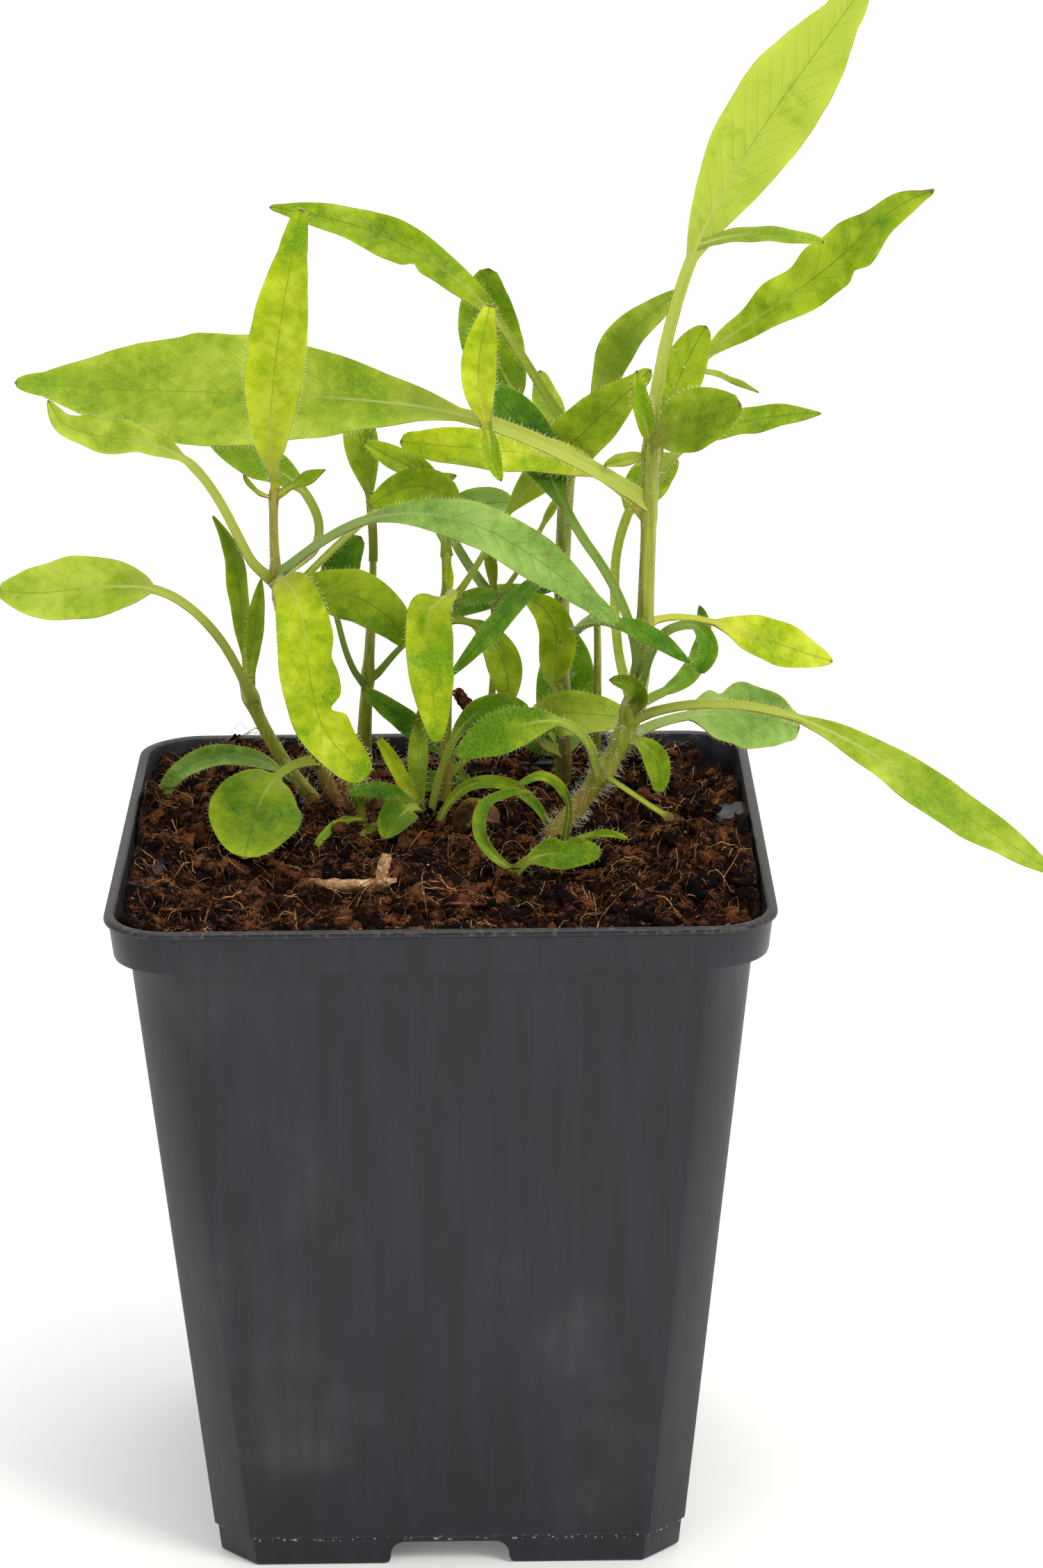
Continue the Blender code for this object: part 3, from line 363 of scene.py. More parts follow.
@dataclass(frozen=True)
class LooseGround(Finish):
    """Peat, coir fibre, bark or grit: dry loose matter, torn or split.

    It is fully matt, with lighter torn strands; its darkest patches, drawn from noise, are painted shade of
    ragged pores over the matter's own dark tone. clump and strand are the sizes of its pattern in millimetres,
    and relief is the depth of its bumps in metres.
    """

    name: str
    dark: str
    middle: str
    light: str
    clump: float
    strand: float
    stretch: tuple[float, float, float] = (1.0, 1.0, 1.0)
    relief: float = 0.0004
    roughness: float = 0.92

    DETAIL = 4.0
    TONE_WEIGHT = 0.3

    def surface(self, tree: NodeTree, place: Socket) -> dict:
        """Add the clumps and strands."""
        tone = add_node(tree, "ShaderNodeAttribute", out="Fac", attribute_name="tone")
        long_place = add_node(tree, "ShaderNodeMapping", {"Vector": place, "Scale": self.stretch})
        clumps, strands = (
            add_node(
                tree, "ShaderNodeTexNoise", {"Vector": spot, "Scale": per_metre(size), "Detail": self.DETAIL}
            )
            for spot, size in ((place, self.clump), (long_place, self.strand))
        )
        level = add_node(tree, "ShaderNodeMath", {0: clumps, 1: strands}, operation="ADD")
        toned = {0: tone, 1: self.TONE_WEIGHT, 2: level}
        level = add_node(tree, "ShaderNodeMath", toned, operation="MULTIPLY_ADD")
        level = add_node(tree, "ShaderNodeMath", {0: level, 1: 0.5}, operation="MULTIPLY")
        # The dark stop is partly painted shade: it stands for the shade of pores as well as the matter's dark
        # tone.
        stops = ((0.4, self.dark), (0.64, self.light), (0.52, self.middle))
        colour = add_node(tree, "ShaderNodeValToRGB", {"Fac": level}, stops=stops)
        bump = add_node(tree, "ShaderNodeBump", {"Height": strands, "Distance": self.relief, "Strength": 1.0})
        return {
            "Base Color": colour,
            "Roughness": self.roughness,
            "Normal": bump,
            "Specular IOR Level": 0.08,
        }


@dataclass(frozen=True)
class PotPlastic(Finish):
    """Polypropylene, injection moulded, anthracite.

    A satin face with faint upright flow lines, dry smudges from handling with a soft upright painted highlight
    in them, soil dust on the rim and pale specks on the line where the two halves of the mould met.
    """

    name: str = "moulded_polypropylene"
    dark: str = "#0f1018"
    face: str = "#181a24"
    # The smudges' colour, which also paints a soft upright highlight
    smudge_and_highlight: str = "#4a4a4e"
    dust: str = "#6e5a46"
    speck: str = "#b9b4a8"
    parting_height: float = 4.3
    rim_height: float = 98.5

    # Each pattern's size in millimetres, how far it is drawn out upwards, and its detail. The mould's
    # spark grain is about 0.05 mm, too fine to show, so it is drawn 0.35 mm across.
    PATTERNS = (
        ("flow", 2.2, 0.02, 3.0),
        ("broad_flow", 9.0, 0.1, 2.0),
        ("smudge_and_highlight", 24.0, 1.0, 6.0),
        ("speck", 0.5, 1.0, 2.0),
        ("dust", 0.8, 1.0, 4.0),
        ("spark", 0.35, 1.0, 2.0),
    )

    def surface(self, tree: NodeTree, place: Socket) -> dict:
        """Add the flow lines, the smudges with their painted highlight, dust and specks."""
        read = {}
        for pattern, size, rise, detail in self.PATTERNS:
            spot = place
            if rise < 1.0:
                spot = add_node(tree, "ShaderNodeMapping", {"Vector": place, "Scale": (1.0, 1.0, rise)})
            sizes = {"Vector": spot, "Scale": per_metre(size), "Detail": detail}
            read[pattern] = add_node(tree, "ShaderNodeTexNoise", sizes)
        flows = {0: read["flow"], 1: read["broad_flow"]}
        read["lines"] = add_node(tree, "ShaderNodeMath", flows, operation="ADD")
        read["height"] = add_node(tree, "ShaderNodeSeparateXYZ", {"Vector": place}, out="Z")
        off = {0: read["height"], 1: self.parting_height * MM}
        off = add_node(tree, "ShaderNodeMath", off, operation="SUBTRACT")
        read["off_parting"] = add_node(tree, "ShaderNodeMath", {0: off}, operation="ABSOLUTE")
        mask = {}
        # Each mask follows a value from one place to another, and changes between two strengths on the way.
        for name, value, low, high, start, end, course in (
            ("lines", "lines", 0.76, 1.24, 0.0, 1.0, "SMOOTHSTEP"),
            # The smudge layer is partly dry smudges and partly a painted highlight in soft upright streaks.
            ("smudge_and_highlight", "smudge_and_highlight", 0.54, 0.74, 0.0, 0.4, "SMOOTHSTEP"),
            ("streak", "flow", 0.35, 0.6, 0.5, 1.0, "LINEAR"),
            ("parting", "off_parting", 0.2 * MM, 0.5 * MM, 1.0, 0.0, "LINEAR"),
            ("speck", "speck", 0.62, 0.66, 0.0, 1.0, "LINEAR"),
            ("rim", "height", (self.rim_height - 1.2) * MM, (self.rim_height - 0.1) * MM, 0.0, 1.0, "LINEAR"),
            ("dust", "dust", 0.52, 0.7, 0.0, 0.7, "LINEAR"),
        ):
            limits = {"From Min": low, "From Max": high, "To Min": start, "To Max": end}
            mask[name] = add_node(
                tree, "ShaderNodeMapRange", {"Value": read[value], **limits}, interpolation_type=course
            )
        for name, limit in (("smudge_and_highlight", "streak"), ("speck", "parting"), ("dust", "rim")):
            both = {0: mask[name], 1: mask[limit]}
            mask[name] = add_node(tree, "ShaderNodeMath", both, operation="MULTIPLY")
        colour = linear(self.dark)
        for name, tint in (
            ("lines", self.face), ("smudge_and_highlight", self.smudge_and_highlight), ("speck", self.speck), ("dust", self.dust)
        ):
            layer = {FACTOR: mask[name], COLOUR_A: colour, COLOUR_B: linear(tint)}
            colour = add_node(tree, "ShaderNodeMix", layer, out=MIXED, data_type="RGBA")
        relief = {0: read["spark"], 1: 0.2, 2: read["lines"]}
        relief = add_node(tree, "ShaderNodeMath", relief, operation="MULTIPLY_ADD")
        bump = add_node(tree, "ShaderNodeBump", {"Height": relief, "Distance": 0.00016, "Strength": 0.4})
        rough = 0.4
        for name, weight in (("smudge_and_highlight", 0.4), ("dust", 0.5)):
            terms = {0: mask[name], 1: weight, 2: rough}
            rough = add_node(tree, "ShaderNodeMath", terms, operation="MULTIPLY_ADD")
        return {
            "Base Color": colour,
            "Roughness": rough,
            "Normal": bump,
            "IOR": 1.49,
            "Specular IOR Level": 0.4,
        }


@dataclass(frozen=True)
class StudioFloor(Finish):
    """Opal acrylic sheet, lit a little from behind: it gives a plain white floor with soft shadows."""

    name: str = "studio_floor"
    colour: str = "#fbfbfa"
    patch: str = "#f5f5f3"
    patch_size: float = 60.0
    glow: float = 0.12

    def surface(self, tree: NodeTree, place: Socket) -> dict:
        """Add the faint clouds of the sheet."""
        patches = add_node(tree, "ShaderNodeTexNoise", {"Vector": place, "Scale": per_metre(self.patch_size)})
        layer = {FACTOR: patches, COLOUR_A: linear(self.colour), COLOUR_B: linear(self.patch)}
        colour = add_node(tree, "ShaderNodeMix", layer, out=MIXED, data_type="RGBA")
        return {
            "Base Color": colour,
            "Roughness": 0.9,
            "Emission Color": linear("#ffffff"),
            "Emission Strength": self.glow,
        }


class Tint(Enum):
    """The leaf finishes by age and light, each with the record's material slot."""

    YOUNG = "leaf_young"
    MID = "leaf_mid"
    PALE = "leaf_pale"
    GREY = "leaf_grey"
    DARK = "leaf_dark"
    OLIVE = "leaf_olive"
    BROWN = "leaf_withered"


LEAF_BLADES = {
    Tint.YOUNG: LeafBlade("young_leaf", "#6f9604", "#a0b208", "#c0ca34", "#ccca66", "#aeb032"),
    Tint.MID: LeafBlade("fresh_leaf", "#4e7604", "#789408", "#9aae20", "#b4c25a", "#92a238", quilt=0.6),
    Tint.PALE: LeafBlade("pale_leaf", "#70921a", "#8ea426", "#abba44", "#c6ca80", "#a6b04c", roughness=0.54),
    Tint.GREY: LeafBlade("grey_green_leaf", "#5e8030", "#789a40", "#94b05a", "#a8b878", "#8da454", quilt=0.8),
    Tint.DARK: LeafBlade("deep_green_leaf", "#345c06", "#4c780c", "#6a9018", "#8aa248", "#76923a", quilt=0.7),
    Tint.OLIVE: LeafBlade("olive_leaf", "#5a7606", "#748e0c", "#93a626", "#9a9e46", "#8a8e36"),
    Tint.BROWN: LeafBlade("dried_leaf", "#26150c", "#422817", "#8a6844", "#7b5433", "#5a3a22", roughness=0.75),
}
STEM_GREEN = StemSkin("green_stem", "#7a8a1c", "#a0a636", "#9a7436", 0.3)
STEM_RED = StemSkin("red_brown_stem", "#8d8a34", "#a99c44", "#74402a", 0.8)
STEM_OLD = StemSkin("old_stem", "#6f7a1e", "#97a038", "#4f331d", 0.5)
HAIR = PlantHair()
PEAT = LooseGround("peat_and_coir", "#040201", "#170b06", "#4a2714", 2.4, 0.4)
CLUMP = LooseGround("peat_clump", "#070302", "#25120a", "#6e4226", 1.6, 0.3)
COIR = LooseGround("coir_fibre", "#1c0c06", "#56301a", "#b98b5c", 4.0, 0.6, relief=0.00006, roughness=0.75)
BARK = LooseGround("split_bark", "#7a5636", "#ac8560", "#d3b592", 2.5, 0.35, (1.0, 0.3, 1.0), relief=0.00015)
WOOD = LooseGround("dark_wood", "#24110b", "#5e3524", "#94664a", 2.0, 0.3, (1.0, 0.3, 1.0), relief=0.00015)
GRIT = LooseGround("pale_grit", "#a9a296", "#d0cabc", "#efeae0", 0.5, 0.2, relief=0.00005)
PLASTIC = PotPlastic()
FLOOR = StudioFloor()


# ---------------------------------------------------------------- making meshes


@dataclass(frozen=True)
class PotAxis:
    """Where the pot's upright axis stands in the frame, in metres."""

    x: float
    y: float

    @classmethod
    def from_frame(cls) -> "PotAxis":
        """Return the axis through the middle of the frame's pot."""
        low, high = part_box("pot")
        return cls((low.x + high.x) / 2, (low.y + high.y) / 2)

    def place(self, point: Vector) -> tuple[float, float, float]:
        """Turn millimetres about the axis into metres in the frame."""
        return (point.x * MM + self.x, point.y * MM + self.y, point.z * MM)


def turned(across: Vector, other: Vector, sides: int) -> list[Vector]:
    """Return directions evenly spread round a line, from two that stand square to it."""
    angles = [2 * math.pi * side / sides for side in range(sides)]
    return [across * math.cos(angle) + other * math.sin(angle) for angle in angles]


@dataclass
class MeshStock:
    """Points and faces of one piece while it is made, with the values its points hold."""

    names: tuple[str, ...] = ("tone",)
    points: list = field(default_factory=list)
    faces: list = field(default_factory=list)
    slots: list = field(default_factory=list)
    values: dict = field(default_factory=dict)

    # A thread whose direction has more of X in it than this is squared up against Y instead.
    MOSTLY_X = 0.8

    def point(self, place: Vector, **values: float) -> int:
        """Add a point and return its number; a value that isn't given is zero."""
        self.points.append(place)
        for name in self.names:
            self.values.setdefault(name, []).append(values.get(name, 0.0))
        return len(self.points) - 1

    def face(self, corners: tuple[int, ...], slot: int = 0) -> None:
        """Add a face of the material in a slot."""
        self.faces.append(corners)
        self.slots.append(slot)

    def skin(self, loops: list[list[int]], slot: int = 0) -> None:
        """Join equal loops of points with quads and close both ends."""
        for lower, upper in zip(loops, loops[1:]):
            for index in range(len(lower)):
                after = (index + 1) % len(lower)
                self.face((lower[index], lower[after], upper[after], upper[index]), slot)
        self.face(tuple(reversed(loops[0])), slot)
        self.face(tuple(loops[-1]), slot)

    def thread(
        self, centres: list[Vector], widths: list[float], sides: int, slot: int = 0, **values: float
    ) -> None:
        """Add a thin closed tube along some points.

        Args:
            centres: The points it follows.
            widths: Its width at each of them.
            sides: How many sides it has.
            slot: Its material's slot.
            values: The values its points hold.
        """
        loops = []
        last = len(centres) - 1
        for index, (centre, width) in enumerate(zip(centres, widths)):
            along = (centres[min(index + 1, last)] - centres[max(index - 1, 0)]).normalized()
            guide = Vector((1.0, 0.0, 0.0)) if abs(along.x) < self.MOSTLY_X else Vector((0.0, 1.0, 0.0))
            across = along.cross(guide).normalized()
            other = along.cross(across)
            around = [centre + out * (width / 2) for out in turned(across, other, sides)]
            loops.append([self.point(spot, hair_share=index / last, **values) for spot in around])
        self.skin(loops, slot)

    def piece(
        self, name: str, axis: PotAxis, finishes: tuple, node: str, sharp: float = 50.0
    ) -> bpy.types.Object:
        """Turn the stock into a shown piece that rides on the frame.

        Args:
            name: The piece's name.
            axis: The pot's axis.
            finishes: The finishes in slot order.
            node: The CAD node it stands for, or nothing.
            sharp: The angle in degrees above which an edge stays sharp.

        Returns:
            The new object.
        """
        mesh = bpy.data.meshes.new(name)
        mesh.from_pydata([axis.place(point) for point in self.points], [], self.faces)
        for finish in finishes:
            mesh.materials.append(finish.material())
        mesh.polygons.foreach_set("material_index", self.slots)
        for value_name, numbers in self.values.items():
            mesh.attributes.new(value_name, "FLOAT", "POINT").data.foreach_set("value", numbers)
        mesh.shade_smooth()
        mesh.set_sharp_from_angle(angle=math.radians(sharp))
        thing = bpy.data.objects.new(name, mesh)
        return seat_piece(thing, node)


def seat_piece(thing: bpy.types.Object, node: str) -> bpy.types.Object:
    """Link a piece, let it ride on the frame and stand for its CAD node, and report it.

    Args:
        thing: The new object.
        node: The CAD node it stands for, or nothing.

    Returns:
        The same object.
    """
    bpy.context.scene.collection.objects.link(thing)
    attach(thing, "root")
    if node:
        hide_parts(node)
    LOG.info("%s: %d faces", thing.name, len(thing.data.polygons))
    return thing


def rounded_square(half: float, corner: float, flatness: float, z: float, steps: int = 14) -> list[Vector]:
    """Return a square outline whose corners are between round arcs and flat chamfers.

    Args:
        half: Half the square's width.
        corner: How far each corner is cut back along the sides.
        flatness: 0 for a round corner and 1 for a flat one.
        z: The outline's height.
        steps: How many steps each corner has.

    Returns:
        The outline's points, anticlockwise.
    """
    points = []
    power = 1.0 + flatness
    for cos, sin in ((1, 0), (0, 1), (-1, 0), (0, -1)):
        for step in range(steps + 1):
            angle = math.pi / 2 * step / steps
            x = half - corner + corner * math.cos(angle) ** power if step < steps else half - corner
            y = half - corner + corner * math.sin(angle) ** power
            points.append(Vector((x * cos - y * sin, x * sin + y * cos, z)))
    return points


# ---------------------------------------------------------------- pot


@dataclass
class NurseryPot:
    """Square nursery pot: tapered body, rim band with a bead, corner feet and water channels."""

    axis: PotAxis
    height: float = 98.5
    rim_half: float = 45.0
    band_half_top: float = 44.4
    band_half_bottom: float = 43.9
    band_bottom: float = 92.4
    bead: float = 1.0
    body_half_top: float = 41.7
    body_half_bottom: float = 32.7
    foot_band: float = 4.3
    foot_inset: float = 0.4
    wall: float = 0.9
    floor: float = 1.0
    rim_corner: float = 9.0
    corner_top: float = 6.4
    corner_bottom: float = 5.2
    flatness_top: float = 0.5
    flatness_bottom: float = 0.9
    channel_width: float = 16.6
    channel_height: float = 3.6
    channel_round: float = 2.0
    mouth_round: float = 1.1
    drain_radius: float = 3.5
    drain_spacing: float = 19.0
    lug_width: float = 37.0
    lug_depth: float = 1.6
    lug_bottom: float = 88.0
    lug_top: float = 95.6
    lug_slope: float = 2.0
    lug_ease: float = 0.3

    BODY_STEPS = 10
    DRAIN_SIDES = 32
    SHARP_ANGLE = 32.0
    # How far a cutting solid runs on past what it cuts, so that no two faces meet
    CHANNEL_DIG = 3.0
    CHANNEL_REACH = 10.0
    DRAIN_DIG = 2.0
    DRAIN_RISE = 3.0
    LUG_ROOT = 6.0

    def body_half(self, z: float) -> float:
        """Return the outside half-width of the body at a height."""
        return self.body_half_bottom + (self.body_half_top - self.body_half_bottom) * z / self.band_bottom

    def body_ring(self, z: float, inset: float = 0.0) -> list[Vector]:
        """Return the body's outline at a height, moved in by an inset."""
        part = z / self.band_bottom
        corner = self.corner_bottom + (self.corner_top - self.corner_bottom) * part
        flatness = self.flatness_bottom + (self.flatness_top - self.flatness_bottom) * part
        return rounded_square(self.body_half(z) - inset, corner, flatness, z)

    def shell(self) -> list[list[Vector]]:
        """Return the outside of the pot as rings, with small rounds where its faces meet."""
        inset = self.foot_inset
        rings = [self.body_ring(z, inset + more) for z, more in ((0.0, 0.45), (0.12, 0.15), (0.45, 0.0))]
        rings += [self.body_ring(self.foot_band, inset), self.body_ring(self.foot_band + 0.12, inset * 0.3)]
        rings.append(self.body_ring(self.foot_band + 0.3))
        low = self.foot_band + 1.0
        high = self.band_bottom - 0.6
        parts = [step / self.BODY_STEPS for step in range(self.BODY_STEPS + 1)]
        rings += [self.body_ring(low + (high - low) * part) for part in parts]
        rings.append(self.body_ring(self.band_bottom - 0.15, -0.12))
        corner = self.rim_corner
        top = self.height
        for half, cut, z in (
            (self.band_half_bottom - 1.6, corner - 1.4, self.band_bottom),
            (self.band_half_bottom - 0.45, corner - 0.6, self.band_bottom),
            (self.band_half_bottom - 0.12, corner - 0.4, self.band_bottom + 0.12),
            (self.band_half_bottom, corner - 0.3, self.band_bottom + 0.45),
            (self.band_half_top, corner, top - self.bead - 0.1),
            (self.band_half_top + 0.18, corner, top - self.bead + 0.05),
            (self.rim_half - 0.08, corner, top - self.bead + 0.2),
            (self.rim_half, corner, top - self.bead + 0.4),
            (self.rim_half, corner, top - 0.4),
            (self.rim_half - 0.1, corner, top - 0.15),
            (self.rim_half - 0.38, corner, top),
            (self.rim_half - 0.9, corner, top),
        ):
            rings.append(rounded_square(half, cut, 0.0, z))
        return rings

    def hollow(self) -> list[list[Vector]]:
        """Return the inside of the pot as rings, from its floor to above the rim."""
        shelf = self.band_bottom + self.wall
        rings = [self.body_ring(z, self.wall) for z in (self.floor, 30.0, 60.0, shelf - 0.5)]
        band = self.band_half_bottom - self.wall
        inner_top = self.band_half_top - self.wall
        corner = self.rim_corner
        for half, cut, z in (
            (band - 0.3, corner - 1.2, shelf),
            (band, corner - 1.0, shelf + 0.4),
            (inner_top, corner - 0.8, self.height - 0.6),
            (inner_top + 0.12, corner - 0.8, self.height - 0.2),
            (inner_top + 0.4, corner - 0.7, self.height),
            (inner_top + 0.6, corner - 0.6, self.height + 2.0),
        ):
            rings.append(rounded_square(half, cut, 0.0, z))
        return rings

    def solid(self, name: str, rings: list[list[Vector]]) -> bpy.types.Object:
        """Return a closed solid of some rings, as a guide that isn't shown."""
        bm = bmesh.new()
        loops = [[bm.verts.new(self.axis.place(point)) for point in ring] for ring in rings]
        for lower, upper in zip(loops, loops[1:]):
            for index in range(len(lower)):
                after = (index + 1) % len(lower)
                bm.faces.new((lower[index], lower[after], upper[after], upper[index]))
        bm.faces.new(list(reversed(loops[0])))
        bm.faces.new(loops[-1])
        bmesh.ops.remove_doubles(bm, verts=bm.verts, dist=1e-7)
        bmesh.ops.recalc_face_normals(bm, faces=bm.faces)
        mesh = bpy.data.meshes.new(name)
        bm.to_mesh(mesh)
        bm.free()
        thing = bpy.data.objects.new(name, mesh)
        bpy.context.scene.collection.objects.link(thing)
        thing.hide_render = True
        return thing

    def combine(self, target: bpy.types.Object, cutter: bpy.types.Object) -> None:
        """Cut one guide solid out of another and remove the cutter."""
        modifier = target.modifiers.new(cutter.name, "BOOLEAN")
        modifier.operation = "DIFFERENCE"
        modifier.solver = "EXACT"
        modifier.object = cutter
        bpy.context.view_layer.update()
        depsgraph = bpy.context.evaluated_depsgraph_get()
        made = bpy.data.meshes.new_from_object(target.evaluated_get(depsgraph))
        target.modifiers.clear()
        target.data = made
        bpy.data.objects.remove(cutter)

    def channel(self, along_x: bool, grow: float) -> list[list[Vector]]:
        """Return a round-topped bar under the floor, whose mouth is eased at the feet."""
        half = self.channel_width / 2 + grow
        top = self.channel_height + grow
        radius = self.channel_round + grow * 0.5
        mouth = self.mouth_round if grow == 0.0 else 0.0
        profile = [(half + mouth, -self.CHANNEL_DIG), (half + mouth, 0.0)]
        profile += [(half + mouth * 0.3, mouth * 0.3), (half, mouth + 0.01)]
        for degrees in range(0, 91, 15):
            angle = math.radians(degrees)
            outer = half - radius + radius * math.cos(angle)
            profile.append((outer, top - radius + radius * math.sin(angle)))
        outline = profile + [(-u, z) for u, z in reversed(profile)]
        reach = self.rim_half + self.CHANNEL_REACH
        if along_x:
            return [[Vector((end, u, z)) for u, z in outline] for end in (-reach, reach)]
        return [[Vector((u, end, z)) for u, z in outline] for end in (-reach, reach)]

    def lug(self, turn: int) -> list[list[Vector]]:
        """Return the block that one stacking lug is left from."""
        inner = self.body_half(self.lug_bottom) - self.wall - self.lug_depth
        outer = inner + self.lug_depth + self.LUG_ROOT
        profile = (
            (inner, self.lug_bottom + self.lug_slope),
            (outer, self.lug_bottom - self.lug_slope),
            (outer, self.lug_top),
            (inner + self.lug_ease, self.lug_top),
            (inner, self.lug_top - self.lug_ease),
        )
        cos, sin = ((1, 0), (0, 1), (-1, 0), (0, -1))[turn]
        half = self.lug_width / 2
        return [[Vector((v * cos - u * sin, v * sin + u * cos, z)) for v, z in profile] for u in (-half, half)]

    def drain(self, x: float, y: float) -> list[list[Vector]]:
        """Return an upright pin that cuts one drain hole."""
        around = turned(Vector((1.0, 0.0, 0.0)), Vector((0.0, 1.0, 0.0)), self.DRAIN_SIDES)
        heights = (-self.DRAIN_DIG, self.channel_height + self.floor + self.DRAIN_RISE)
        return [[Vector((x, y, z)) + out * self.drain_radius for out in around] for z in heights]

    def build(self) -> None:
        """Build the pot and dress it."""
        pot = self.solid("nursery_pot", self.shell())
        hollow = self.solid("guide_hollow", self.hollow())
        for turn in range(4):
            self.combine(hollow, self.solid(f"guide_lug_{turn}", self.lug(turn)))
        for along_x in (True, False):
            self.combine(hollow, self.solid("guide_ridge", self.channel(along_x, self.floor)))
        self.combine(pot, hollow)
        for along_x in (True, False):
            self.combine(pot, self.solid("guide_channel", self.channel(along_x, 0.0)))
        spots = [(0.0, 0.0)]
        for step in (-self.drain_spacing, self.drain_spacing):
            spots += [(step, 0.0), (0.0, step)]
        for x, y in spots:
            self.combine(pot, self.solid("guide_drain", self.drain(x, y)))
        pot.data.materials.clear()
        pot.data.materials.append(PLASTIC.material())
        pot.data.polygons.foreach_set("material_index", [0] * len(pot.data.polygons))
        pot.data.shade_smooth()
        pot.data.set_sharp_from_angle(angle=math.radians(self.SHARP_ANGLE))
        pot.hide_render = False
        bpy.context.scene.collection.objects.unlink(pot)
        seat_piece(pot, "pot")


# ---------------------------------------------------------------- soil


